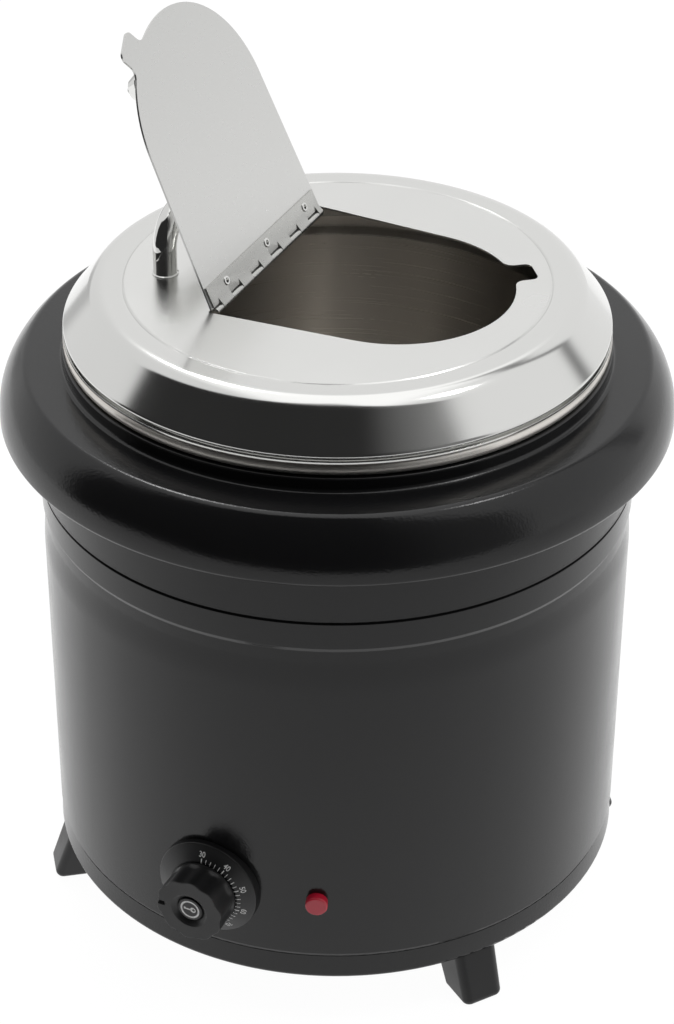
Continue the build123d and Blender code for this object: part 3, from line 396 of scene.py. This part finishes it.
dress(black_abs, "dial_bezel")
dial_height = 80.0
dial = Matrix(((1, 0, 0, 0), (0, 0, -1, -body_ring * mm), (0, 1, 0, dial_height * mm), (0, 0, 0, 1)))
scale_inner, scale_outer = 18.8 * mm, 27.2 * mm
face_height, rim_height = 7.3 * mm, 3.2 * mm
scale_slope = atan2(face_height - rim_height, scale_outer - scale_inner)
first_mark, mark_step, mark_count, marks_per_number = radians(93), radians(-7.4), 31, 5
print_lift = 0.02 * mm


def on_scale(r):
    """Height of the bezel's slope at a radius, with the print's thickness."""
    fall = (face_height - rim_height) / (scale_outer - scale_inner)
    return face_height - (r - scale_inner) * fall + print_lift


marks = bpy.data.node_groups.new("scale marks", "GeometryNodeTree")
marks.interface.new_socket("Geometry", in_out="OUTPUT", socket_type="NodeSocketGeometry")
mark_sockets = {}
for title, kind in (("Count", "Int"), ("First turn", "Float"), ("Step", "Float"), ("Radius", "Float"),
                    ("Height", "Float"), ("Slope", "Float"), ("Minor size", "Vector"),
                    ("Major size", "Vector"), ("Finish", "Material")):
    socket = marks.interface.new_socket(title, in_out="INPUT", socket_type=f"NodeSocket{kind}")
    mark_sockets[title] = socket.identifier
entry = add(marks, "NodeGroupInput").outputs
number = add(marks, "GeometryNodeInputIndex")
turn = add(marks, "ShaderNodeMath", {0: number.outputs[0], 1: entry["Step"], 2: entry["First turn"]},
           operation="MULTIPLY_ADD")
across = add(marks, "ShaderNodeMath", {0: turn.outputs[0]}, operation="COSINE")
along = add(marks, "ShaderNodeMath", {0: turn.outputs[0]}, operation="SINE")
spot = add(marks, "ShaderNodeCombineXYZ", {"X": across.outputs[0], "Y": along.outputs[0]})
ring = add(marks, "ShaderNodeVectorMath", {0: spot.outputs[0], "Scale": entry["Radius"]}, operation="SCALE")
lift = add(marks, "ShaderNodeCombineXYZ", {"Z": entry["Height"]})
seat = add(marks, "ShaderNodeVectorMath", {0: ring.outputs[0], 1: lift.outputs[0]}, operation="ADD")
points = add(marks, "GeometryNodePoints", {"Count": entry["Count"], "Position": seat.outputs[0]})
fifth = add(marks, "ShaderNodeMath", {0: number.outputs[0], 1: marks_per_number}, operation="MODULO")
major = add(marks, "FunctionNodeCompare", {0: fifth.outputs[0], 1: 0.5},
            data_type="FLOAT", operation="LESS_THAN")
size = add(marks, "GeometryNodeSwitch", {"Switch": major.outputs[0], "False": entry["Minor size"],
                                         "True": entry["Major size"]}, input_type="VECTOR")
lean = add(marks, "ShaderNodeCombineXYZ", {"Y": entry["Slope"], "Z": turn.outputs[0]})
bar = add(marks, "GeometryNodeMeshCube", {"Size": (1, 1, 1)})
rows = add(marks, "GeometryNodeInstanceOnPoints", {
    "Points": points.outputs[0], "Instance": bar.outputs["Mesh"], "Rotation": lean.outputs[0],
    "Scale": size.outputs[0]})
real = add(marks, "GeometryNodeRealizeInstances", {"Geometry": rows.outputs[0]})
coloured = add(marks, "GeometryNodeSetMaterial", {"Geometry": real.outputs[0], "Material": entry["Finish"]})
add(marks, "NodeGroupOutput", {0: coloured.outputs[0]})
slope_middle, root_middle = 19.65 * mm, 18.42 * mm
minor_width, major_width, mark_film = 0.36 * mm, 0.64 * mm, 0.04 * mm
for name, middle, length, height, slope in (
        ("dial_marks", slope_middle, 1.7 * mm, on_scale(slope_middle), scale_slope),
        ("dial_mark_roots", root_middle, 0.78 * mm, face_height + print_lift, 0.0)):
    values = {"Count": mark_count, "First turn": first_mark, "Step": mark_step, "Radius": middle,
              "Height": height, "Slope": slope, "Minor size": (length, minor_width, mark_film),
              "Major size": (length, major_width, mark_film), "Finish": white_ink}
    printed = grow(name, marks, {mark_sockets[title]: value for title, value in values.items()})
    printed.data.transform(dial)
    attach(printed, "housing")


def flat_print(name, pieces, material):
    """One mesh from placed text or outline meshes."""
    sheet = bmesh.new()
    for mesh, matrix in pieces:
        mesh.transform(matrix)
        sheet.from_mesh(mesh)
        bpy.data.meshes.remove(mesh)
    bmesh.ops.remove_doubles(sheet, verts=sheet.verts, dist=0.0005 * mm)
    mesh = bpy.data.meshes.new(name)
    sheet.to_mesh(mesh)
    sheet.free()
    mesh.materials.append(material)
    made = bpy.data.objects.new(name, mesh)
    bpy.context.scene.collection.objects.link(made)
    return made


def mesh_of(data):
    """Plain mesh of a text or curve."""
    maker = bpy.data.objects.new("maker", data)
    bpy.context.scene.collection.objects.link(maker)
    seen = maker.evaluated_get(bpy.context.evaluated_depsgraph_get())
    mesh = bpy.data.meshes.new_from_object(seen)
    bpy.data.objects.remove(maker)
    return mesh


digits = []
number_middle, number_size, number_width = 22.35 * mm, 4.2 * mm, 0.86
ink_half, ink_spread = 0.015 * mm, 0.05 * mm
for index, degree in enumerate(range(30, 100, 10)):
    text = bpy.data.curves.new("number", "FONT")
    text.body = str(degree)
    text.size = number_size
    text.align_x = "CENTER"
    text.align_y = "CENTER"
    text.extrude = ink_half
    text.offset = ink_spread
    text.resolution_u = 4
    narrow = Matrix.Diagonal((number_width, 1, 1, 1))
    lay = Matrix.Rotation(first_mark + marks_per_number * index * mark_step - pi / 2, 4, "Z")
    lay = lay @ Matrix.Translation((0, number_middle, on_scale(number_middle)))
    lay = lay @ Matrix.Rotation(-scale_slope, 4, "X")
    digits.append((mesh_of(text), dial @ lay @ narrow))
dial_numbers = flat_print("dial_numbers", digits, white_ink)
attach(dial_numbers, "housing")


# Control knob: a scalloped black moulding pushed on the thermostat's shaft, with a pointer notch in its
# front and a round cap in its dished face. The cap carries a printed ring and a plain ladle sign.

dress(black_abs, "knob_cap")
knob_front, knob_back, knob_steps = 23.7, 7.7, 720
dish_floor, bore_radius, bore_end = 21.5, 3.2, 18.6
scallop_count, scallop_depth, scallop_shift = 10, 1.0, radians(-6)
scallop_ring, scallop_low, scallop_rise = 17.2, 9.0, 3.2
notch_ring, notch_half_width = 13.2, 1.3
dish = [(0, dish_floor), (6.9, dish_floor), (7.0, 21.6), (7.6, 22.1), (8.6, 22.9), (9.6, 23.5), (10.0, 23.68)]
front_face = [(r, knob_front) for r in (10.5, 12.0, 13.0, 13.7, 14.4, 15.2, 16.0, 17.0, 17.9)]
grip = [(18.1, 23.6), (18.2, 23.4), (18.2, 22.4), (18.15, 20.0), (18.05, 16.0), (17.95, 12.2), (17.95, 11.8)]
skirt = [(17.9, z) for z in (11.1, 10.5, 10.0, 9.6, 9.3, scallop_low, knob_back)]
bore = [(bore_radius, knob_back), (bore_radius, bore_end), (0, bore_end)]
knob_form = bmesh.new()
turn_ring(knob_form, dish + front_face + grip + skirt + bore, knob_steps)
bmesh.ops.remove_doubles(knob_form, verts=knob_form.verts, dist=0.002 * mm)
for corner in knob_form.verts:
    x, y, z = corner.co / mm
    reach = hypot(x, y)
    if reach > scallop_ring:
        wave = (1 + cos((atan2(y, x) - scallop_shift) * scallop_count)) / 2
        share = min(1.0, max(0.0, (z - scallop_low) / scallop_rise))
        corner.co.xy *= (reach - scallop_depth * wave * sin(share * pi / 2)) / reach
    if x < 0 and reach > notch_ring and z > dish_floor - 0.5:
        notch = max(0.0, notch_half_width - abs(y)) * min(1.0, reach - notch_ring)
        corner.co.z = min(z, knob_front - notch) * mm
bmesh.ops.transform(knob_form, matrix=dial, verts=knob_form.verts)
stand_in("knob_scalloped", knob_form, black_abs, "knob", "control_knob")


def outline(points):
    """Flat curve shape, filled, from closed outlines."""
    flat = bpy.data.curves.new("outline", "CURVE")
    flat.dimensions = "2D"
    flat.fill_mode = "BOTH"
    flat.extrude = ink_half
    for loop in points:
        line = flat.splines.new("POLY")
        line.points.add(len(loop) - 1)
        for spot, (x, y) in zip(line.points, loop):
            spot.co = (x, y, 0, 1)
        line.use_cyclic_u = True
    return flat


def circle(radius, x=0.0, y=0.0, count=64):
    """Points of a circle."""
    turns = [2 * pi * i / count for i in range(count)]
    return [(x + radius * cos(turn), y + radius * sin(turn)) for turn in turns]


cap_top = 22.5 * mm
cap_ring = outline([circle(5.3 * mm), circle(4.3 * mm)])
bowl = outline([circle(1.6 * mm, 1.7 * mm, 0.1 * mm), circle(0.7 * mm, 2.0 * mm, 0.1 * mm)])
stem_line = ((-3.4, 0.95), (-3.4, -0.45), (-2.5, -0.45), (0.4, -0.5), (0.4, 0.5), (-2.3, 0.45), (-2.5, 0.95))
stem = outline([[(x * mm, y * mm) for x, y in stem_line]])
lay = dial @ Matrix.Translation((0, 0, cap_top + ink_half))
cap_print = flat_print("cap_print", [(mesh_of(flat), lay) for flat in (cap_ring, bowl, stem)], white_ink)
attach(cap_print, "knob")


# Pilot lamp: a moulded red lens in a round plastic holder. The holder goes through the body's wall and is
# held by a nut behind it.

# Clear red polycarbonate, moulded and polished: deep red, with a little of the pale holder showing through.
# Facets of about 1.2 mm inside the lens break up the light.
red_lens, tree, shader, place = start_material("clear red polycarbonate", "#E02843", 0.1)
shader.inputs["IOR"].default_value = 1.58
shader.inputs["Transmission Weight"].default_value = 0.15
facet = add(tree, "ShaderNodeTexVoronoi", {"Vector": place, "Scale": 1 / (1.2 * mm)})
bump = add(tree, "ShaderNodeBump", {
    "Height": facet.outputs["Distance"], "Strength": 0.25, "Distance": 0.1 * mm})
tree.links.new(bump.outputs["Normal"], shader.inputs["Normal"])

dress(red_lens, "lamp_lens")
dress(pale_plastic, "lamp_body")
dress(zinc, "lamp_nut")


# Cord gland at the back and the terminal block inside, both of moulded plastic. The gland goes through the
# body's wall into a locknut, and the block is screwed to the base pan.

dress(black_abs, "gland_body", "gland_cap", "gland_locknut")
dress(pale_plastic, "terminal_block")


# Collar: a pressed steel ring between pot and body, powder coated. Outside the pot's seat it steps down to
# a level land, which ends in a soft ridge, and from there it falls in the CAD ring's quarter round. Four
# screws from inside the body hold its flange.


def arc(radius, height, bend, start, end, count):
    """Radius-height points of an arc by its middle, its bend radius and its angles in degrees."""
    turns = [radians(start + (end - start) * i / count) for i in range(count + 1)]
    return [(radius + bend * cos(turn), height + bend * sin(turn)) for turn in turns]


collar_wall = 1.0
lip_ring, lip_low, lip_bend = 132.2, 310.7, 1.8
seat_height, seat_edge, seat_bend = 321.5, 137.0, 1.0
land_ring, land_bend = 140.0, 2.0
round_ring, round_middle, round_bend = 135.6, 286.3, 35.2
curl_ring, curl_middle, curl_bend = 168.2, 285.4, 2.6
flange_ring, flange_low = 140.3, curl_middle - curl_bend
ridge_turn, ridge_bend = 49, 4.5
ridge_ring = round_ring + (round_bend - ridge_bend) * cos(radians(ridge_turn))
ridge_middle = round_middle + (round_bend - ridge_bend) * sin(radians(ridge_turn))
land_middle = ridge_middle + ridge_bend + land_bend
collar_outside = (arc(lip_ring + lip_bend, seat_height - lip_bend, lip_bend, 180, 90, 6)
                  + arc(seat_edge, seat_height - seat_bend, seat_bend, 90, 0, 6)
                  + arc(land_ring, land_middle, land_bend, 180, 270, 6)
                  + arc(ridge_ring, ridge_middle, ridge_bend, 90, ridge_turn, 12)
                  + arc(round_ring, round_middle, round_bend, ridge_turn, 0, 32)
                  + arc(curl_ring, curl_middle, curl_bend, 0, -90, 8))
flange = [(flange_ring, flange_low), (flange_ring, flange_low + collar_wall)]
collar_inside = (arc(curl_ring, curl_middle, curl_bend - collar_wall, -90, 0, 6)
                 + arc(round_ring, round_middle, round_bend - collar_wall, 0, ridge_turn, 24)
                 + arc(ridge_ring, ridge_middle, ridge_bend - collar_wall, ridge_turn, 90, 8)
                 + arc(land_ring, land_middle, land_bend + collar_wall, 270, 180, 6))
under_seat = [(seat_edge, seat_height - collar_wall), (lip_ring + lip_bend, seat_height - collar_wall),
              (lip_ring + collar_wall, seat_height - lip_bend), (lip_ring + collar_wall, lip_low)]
collar_form = bmesh.new()
turn_ring(collar_form, [(lip_ring, lip_low)] + collar_outside + flange + collar_inside + under_seat
          + [(lip_ring, lip_low)])
bmesh.ops.remove_doubles(collar_form, verts=collar_form.verts, dist=0.002 * mm)
stand_in("collar_turned", collar_form, powder_coat, "housing", "collar_ring")
dress(zinc, "collar_screws")


# Soup pot: drawn from stainless sheet and polished on a lathe. Its rolled rim rests on the collar, so that it
# hangs in the water well and lifts out.

dress(satin_steel, "soup_pot")


# Lid: a spun stainless shell on a rim ring, with an opening for the flap and a bent tube handle. The
# shoulder is turned finer than the CAD mesh, so that a mirror shows no facets, and the plate is the CAD's.

# Stainless steel polished to a mirror: clear reflections, very slightly softened and rippled by the
# polishing, and edges rounded by the buffing wheel. The ripple is about 15 mm long.
mirror_steel, tree, shader, place = start_material("mirror polished stainless steel", "#DCDCDA", 0.05, 1.0)
edge = add(tree, "ShaderNodeBevel", {"Radius": 0.3 * mm}, samples=6)
ripple = add(tree, "ShaderNodeTexNoise", {"Vector": place, "Scale": 1 / (15 * mm), "Detail": 1.0})
bump = add(tree, "ShaderNodeBump", {"Height": ripple.outputs["Fac"], "Normal": edge.outputs["Normal"],
                                    "Strength": 0.1, "Distance": 0.05 * mm})
tree.links.new(bump.outputs["Normal"], shader.inputs["Normal"])
wipe = add(tree, "ShaderNodeTexNoise", {"Vector": place, "Scale": 1 / (25 * mm), "Detail": 4.0})
haze = add(tree, "ShaderNodeMapRange", {"Value": wipe.outputs["Fac"], 1: 0.0, 2: 1.0, 3: 0.009, 4: 0.096})
tree.links.new(haze.outputs["Result"], shader.inputs["Roughness"])

# Stainless sheet, its flat brushed to a satin inside the crease and its shoulder polished: bright, with
# reflections that lose their edges, and rims rounded by the mop. The polish wanders over about 40 mm.
crease_ring, crease_half, crease_depth = 106.5, 0.7, 0.5
polished_sheet, tree, shader, place = start_material("soft polished stainless sheet", "#DCDCDA", 0.13, 1.0)
edge = add(tree, "ShaderNodeBevel", {"Radius": 0.3 * mm}, samples=6)
tree.links.new(edge.outputs["Normal"], shader.inputs["Normal"])
wander = add(tree, "ShaderNodeTexNoise", {"Vector": place, "Scale": 1 / (40 * mm), "Detail": 3.0})
polish = add(tree, "ShaderNodeMapRange", {"Value": wander.outputs["Fac"], 1: 0.0, 2: 1.0, 3: 0.08, 4: 0.18})
radius = add(tree, "ShaderNodeVectorMath", {0: place, 1: (1, 1, 0)}, operation="MULTIPLY")
radius = add(tree, "ShaderNodeVectorMath", {0: radius.outputs[0]}, operation="LENGTH")
brushed = add(tree, "ShaderNodeMapRange", {
    "Value": radius.outputs["Value"], 1: (crease_ring - 1.5) * mm, 2: (crease_ring + 1.5) * mm,
    3: 0.12, 4: 0.0})
finish = add(tree, "ShaderNodeMath", {0: polish.outputs["Result"], 1: brushed.outputs["Result"]},
             operation="ADD")
tree.links.new(finish.outputs[0], shader.inputs["Roughness"])

lid_wall, lid_top, plate_edge, cone_turn = 1.0, 353.4, 115.5, 38.6
shoulder_bend = 11.0
shoulder_middle = lid_top - shoulder_bend
edge_ring, edge_middle, edge_bend = 134.5, 332.2, 2.5
hem_ring, hem_bend = 131.5, 1.2
lid_form = copy_of("lid_shell")
turned_part = []
for face in lid_form.faces:
    reach = max(hypot(corner.co.x, corner.co.y) for corner in face.verts)
    upper = max(corner.co.z for corner in face.verts) > (lid_top - crease_depth) * mm
    if reach > (crease_ring - crease_half + 0.1 if upper else plate_edge + 0.1) * mm:
        turned_part.append(face)
bmesh.ops.delete(lid_form, geom=turned_part, context="FACES")
crease = [(crease_ring - crease_half - 0.01, lid_top - 0.004), (crease_ring, lid_top - crease_depth),
          (crease_ring + crease_half, lid_top)]
lid_outside = (arc(plate_edge, shoulder_middle, shoulder_bend, 90, cone_turn, 24)
               + arc(edge_ring, edge_middle, edge_bend, cone_turn, 0, 10)
               + arc(edge_ring + edge_bend - hem_bend, edge_middle, hem_bend, 0, -90, 8))
hem = [(hem_ring, edge_middle - hem_bend), (hem_ring, edge_middle - hem_bend + lid_wall)]
lid_inside = (arc(edge_ring, edge_middle, edge_bend - lid_wall, 0, cone_turn, 6)
              + arc(plate_edge, shoulder_middle, shoulder_bend - lid_wall, cone_turn, 90, 16))
turn_ring(lid_form, crease + lid_outside + hem + lid_inside)
stand_in("lid_shell_turned", lid_form, polished_sheet, "lid", "lid_shell")
dress(mirror_steel, "lid_rim", "lid_handle")


# Flap and piano hinge: a plate cut from stainless sheet, riveted to a rolled hinge whose other leaf is
# riveted to the lid. A low knob is welded on the plate.

# Rolled stainless strip as it comes from the mill: greyer than the polished sheet, with an even, dull sheen
# that has a grain of about 1.5 mm.
hinge_strip, tree, shader, place = start_material("mill finish stainless strip", "#C8C8C5", 0.28, 1.0)
roll = add(tree, "ShaderNodeTexNoise", {"Vector": place, "Scale": 1 / (1.5 * mm), "Detail": 2.0})
dull = add(tree, "ShaderNodeMapRange", {"Value": roll.outputs["Fac"], 1: 0.0, 2: 1.0, 3: 0.25, 4: 0.31})
tree.links.new(dull.outputs["Result"], shader.inputs["Roughness"])

# The flap's stainless sheet, brushed to the plate's satin, with a fine grain of about 2 mm in its sheen.
satin_sheet, tree, shader, place = start_material("satin brushed stainless sheet", "#DCDCDA", 0.28, 1.0)
grain = add(tree, "ShaderNodeTexNoise", {"Vector": place, "Scale": 1 / (2 * mm), "Detail": 2.0})
dull = add(tree, "ShaderNodeMapRange", {"Value": grain.outputs["Fac"], 1: 0.0, 2: 1.0, 3: 0.255, 4: 0.315})
tree.links.new(dull.outputs["Result"], shader.inputs["Roughness"])

dress(satin_sheet, "lid_flap")
dress(hinge_strip, "hinge_leaf_lid", "hinge_leaf_flap")
dress(mirror_steel, "hinge_pin", "lid_rivets", "flap_rivets", "flap_knob")


# Studio: white paper below and behind, white panels at the sides, a white ceiling with two soft lamps,
# and a dark room on the camera's side. Reflections see all of it, and the camera sees plain white.

azimuth, elevation, roll = radians(24.7), radians(32.77), radians(0.17)
distance, aim_height, lens, sensor = 1.4284, 0.2147, 96.05, 36
front = Vector((sin(azimuth), -cos(azimuth), 0))
right = Vector((cos(azimuth), sin(azimuth), 0))

world = bpy.data.worlds.new("studio")
bpy.context.scene.world = world
world.use_nodes = True
tree = world.node_tree
tree.nodes.clear()
view = add(tree, "ShaderNodeTexCoord").outputs["Generated"]
toward = add(tree, "ShaderNodeVectorMath", {0: view, 1: front}, operation="DOT_PRODUCT").outputs["Value"]
across = add(tree, "ShaderNodeVectorMath", {0: view, 1: right}, operation="DOT_PRODUCT").outputs["Value"]
height = add(tree, "ShaderNodeSeparateXYZ", {"Vector": view}).outputs["Z"]
turn = add(tree, "ShaderNodeMath", {0: across, 1: toward}, operation="ARCTAN2").outputs[0]
rise = add(tree, "ShaderNodeMath", {0: height}, operation="ARCSINE").outputs[0]
past_ceiling = add(tree, "ShaderNodeMath", {0: height, 1: -0.7, 2: toward},
                   operation="MULTIPLY_ADD").outputs[0]
above_panels = add(tree, "ShaderNodeMath", {0: rise, 1: radians(33)}, operation="SUBTRACT").outputs[0]
lean = add(tree, "ShaderNodeMath", {0: above_panels, 1: 0.0}, operation="MAXIMUM").outputs[0]
left_turn = add(tree, "ShaderNodeMath", {0: turn, 1: lean}, operation="SUBTRACT").outputs[0]
right_turn = add(tree, "ShaderNodeMath", {0: turn, 1: lean}, operation="ADD").outputs[0]
aside = add(tree, "ShaderNodeMath", {0: across}, operation="ABSOLUTE").outputs[0]
past_corner = add(tree, "ShaderNodeMath", {0: turn, 1: radians(-150)}, operation="SUBTRACT").outputs[0]
off_corner = add(tree, "ShaderNodeMath", {0: past_corner}, operation="ABSOLUTE").outputs[0]

# The back panel has round corners: at its rim, the way past its straight stretches is the corner's radius.
panel_corner = radians(20)
past_straight = []
for value, middle, half in ((turn, radians(150), radians(34)), (rise, radians(15), radians(35))):
    way = add(tree, "ShaderNodeMath", {0: value, 1: middle}, operation="SUBTRACT")
    way = add(tree, "ShaderNodeMath", {0: way.outputs[0]}, operation="ABSOLUTE")
    way = add(tree, "ShaderNodeMath", {0: way.outputs[0], 1: half - panel_corner}, operation="SUBTRACT")
    way = add(tree, "ShaderNodeMath", {0: way.outputs[0], 1: 0.0}, operation="MAXIMUM")
    past_straight.append(way.outputs[0])
way = add(tree, "ShaderNodeCombineXYZ", {"X": past_straight[0], "Y": past_straight[1]})
way = add(tree, "ShaderNodeVectorMath", {0: way.outputs[0]}, operation="LENGTH")
way = add(tree, "ShaderNodeMath", {0: way.outputs["Value"], 1: panel_corner}, operation="SUBTRACT")
off_rim = add(tree, "ShaderNodeMath", {0: way.outputs[0]}, operation="ABSOLUTE").outputs[0]

# Soft steps of brightness: what each one follows, where it starts and ends, and its level before and after.
light_levels = {}
for name, value, start, end, before, after in (
        ("room left", left_turn, radians(-98), radians(-92), 0.0, 1.0),
        ("room right", right_turn, radians(57), radians(65), 1.0, 0.0),
        ("room wall", turn, radians(10), radians(52), 1.0, 0.78),
        ("room ceiling", past_ceiling, -0.865, -0.315, 0.0, 1.0),
        ("lamp bank height", height, 0.58, 0.72, 0.0, 0.4),
        ("lamp bank width", aside, 0.2, 0.45, 1.0, 0.0),
        ("panels", across, -0.6, 0.1, 0.86, 0.94),
        ("panel rim", off_rim, 0.0, radians(6), 0.2, 1.0),
        ("panel end", turn, radians(152), radians(168), 0.0, 1.0),
        ("panel foot", rise, radians(9), radians(2), 0.0, 1.0),
        ("corner", off_corner, radians(3), radians(12), 0.65, 1.0),
        ("corner foot", rise, 0.0, radians(5), 0.0, 1.0)):
    soft = add(tree, "ShaderNodeMapRange", {"Value": value, 1: start, 2: end, 3: before, 4: after},
               interpolation_type="SMOOTHSTEP")
    light_levels[name] = soft.outputs["Result"]
for name, operation, first, second in (
        ("room sides", "MULTIPLY", "room left", "room right"),
        ("room walls", "MULTIPLY", "room sides", "room wall"),
        ("room", "MULTIPLY", "room walls", "room ceiling"),
        ("lamp bank", "MULTIPLY", "lamp bank height", "lamp bank width"),
        ("lit panels", "ADD", "panels", "lamp bank"),
        ("side gap", "MAXIMUM", "panel rim", "panel end"),
        ("gap", "MAXIMUM", "side gap", "panel foot"),
        ("wedge", "MAXIMUM", "corner", "corner foot"),
        ("gapped panels", "MULTIPLY", "lit panels", "gap"),
        ("bright", "MULTIPLY", "gapped panels", "wedge")):
    joined = add(tree, "ShaderNodeMath", {0: light_levels[first], 1: light_levels[second]},
                 operation=operation)
    light_levels[name] = joined.outputs[0]
seen = add(tree, "ShaderNodeMix", {"Factor": light_levels["room"], "A": light_levels["bright"], "B": 0.027},
           data_type="FLOAT").outputs["Result"]
path = add(tree, "ShaderNodeLightPath")
level = add(tree, "ShaderNodeMix", {"Factor": path.outputs["Is Camera Ray"], "A": seen, "B": 1.0},
            data_type="FLOAT")
light = add(tree, "ShaderNodeBackground", {"Color": (1, 1, 1, 1), "Strength": level.outputs["Result"]})
add(tree, "ShaderNodeOutputWorld", {"Surface": light.outputs[0]})

paper_front, paper_back, paper_half = 1, -1.6, 1.6
floor_mesh = bpy.data.meshes.new("floor")
corners = [front * along + right * aside for along, aside in (
    (paper_front, -paper_half), (paper_front, paper_half),
    (paper_back, paper_half), (paper_back, -paper_half))]
floor_mesh.from_pydata(corners, [], [(0, 1, 2, 3)])
floor = bpy.data.objects.new("floor", floor_mesh)
bpy.context.scene.collection.objects.link(floor)
paper = bpy.data.materials.new("white studio paper")
paper.use_nodes = True
tree = paper.node_tree
tree.nodes.clear()
path = add(tree, "ShaderNodeLightPath").outputs
matt = add(tree, "ShaderNodeBsdfDiffuse", {"Color": srgb("#F4F4F4")})
spot = add(tree, "ShaderNodeTexCoord").outputs["Object"]
ahead = add(tree, "ShaderNodeVectorMath", {0: spot, 1: front}, operation="DOT_PRODUCT").outputs["Value"]
fade = add(tree, "ShaderNodeMapRange", {"Value": ahead, 1: -0.3, 2: 0.6, 3: 1.15, 4: 0.75},
           interpolation_type="SMOOTHSTEP")
shown = add(tree, "ShaderNodeMix", {"Factor": path["Is Camera Ray"], "A": fade.outputs["Result"], "B": 1.06},
            data_type="FLOAT")
own = add(tree, "ShaderNodeEmission", {"Color": (1, 1, 1, 1), "Strength": shown.outputs["Result"]})
plain = path["Is Camera Ray"]
for ray in ("Is Glossy Ray", "Is Transmission Ray"):
    plain = add(tree, "ShaderNodeMath", {0: plain, 1: path[ray]}, operation="MAXIMUM").outputs[0]
share = add(tree, "ShaderNodeMath", {0: plain, 1: 0.92}, operation="MULTIPLY")
mixed = add(tree, "ShaderNodeMixShader", {0: share.outputs[0], 1: matt.outputs[0], 2: own.outputs[0]})
add(tree, "ShaderNodeOutputMaterial", {"Surface": mixed.outputs[0]})
floor_mesh.materials.append(paper)

softbox_size, softbox_height, lit_height = 0.25, 1.56, 0.3
for name, aside, ahead, power in (("left softbox", -0.37, -0.91, 2.2), ("right softbox", 0.72, 0.2, 2.0)):
    lamp_data = bpy.data.lights.new(name, "AREA")
    lamp_data.size = softbox_size
    lamp_data.energy = power
    softbox = bpy.data.objects.new(name, lamp_data)
    place = right * aside + front * ahead + Vector((0, 0, softbox_height))
    facing = (Vector((0, 0, lit_height)) - place).to_track_quat("-Z", "Y")
    softbox.matrix_world = Matrix.Translation(place) @ facing.to_matrix().to_4x4()
    bpy.context.scene.collection.objects.link(softbox)

back = front * cos(elevation) + Vector((0, 0, sin(elevation)))
up = back.cross(right)
camera_x = right * cos(roll) + up * sin(roll)
camera_y = up * cos(roll) - right * sin(roll)
camera_data = bpy.data.cameras.new("camera")
camera_data.lens = lens
camera_data.sensor_width = sensor
camera = bpy.data.objects.new("camera", camera_data)
camera_place = Matrix.Translation(Vector((0, 0, aim_height)) + back * distance)
camera.matrix_world = camera_place @ Matrix((camera_x, camera_y, back)).transposed().to_4x4()
bpy.context.scene.collection.objects.link(camera)
bpy.context.scene.camera = camera
bpy.context.scene.view_settings.view_transform = "Standard"
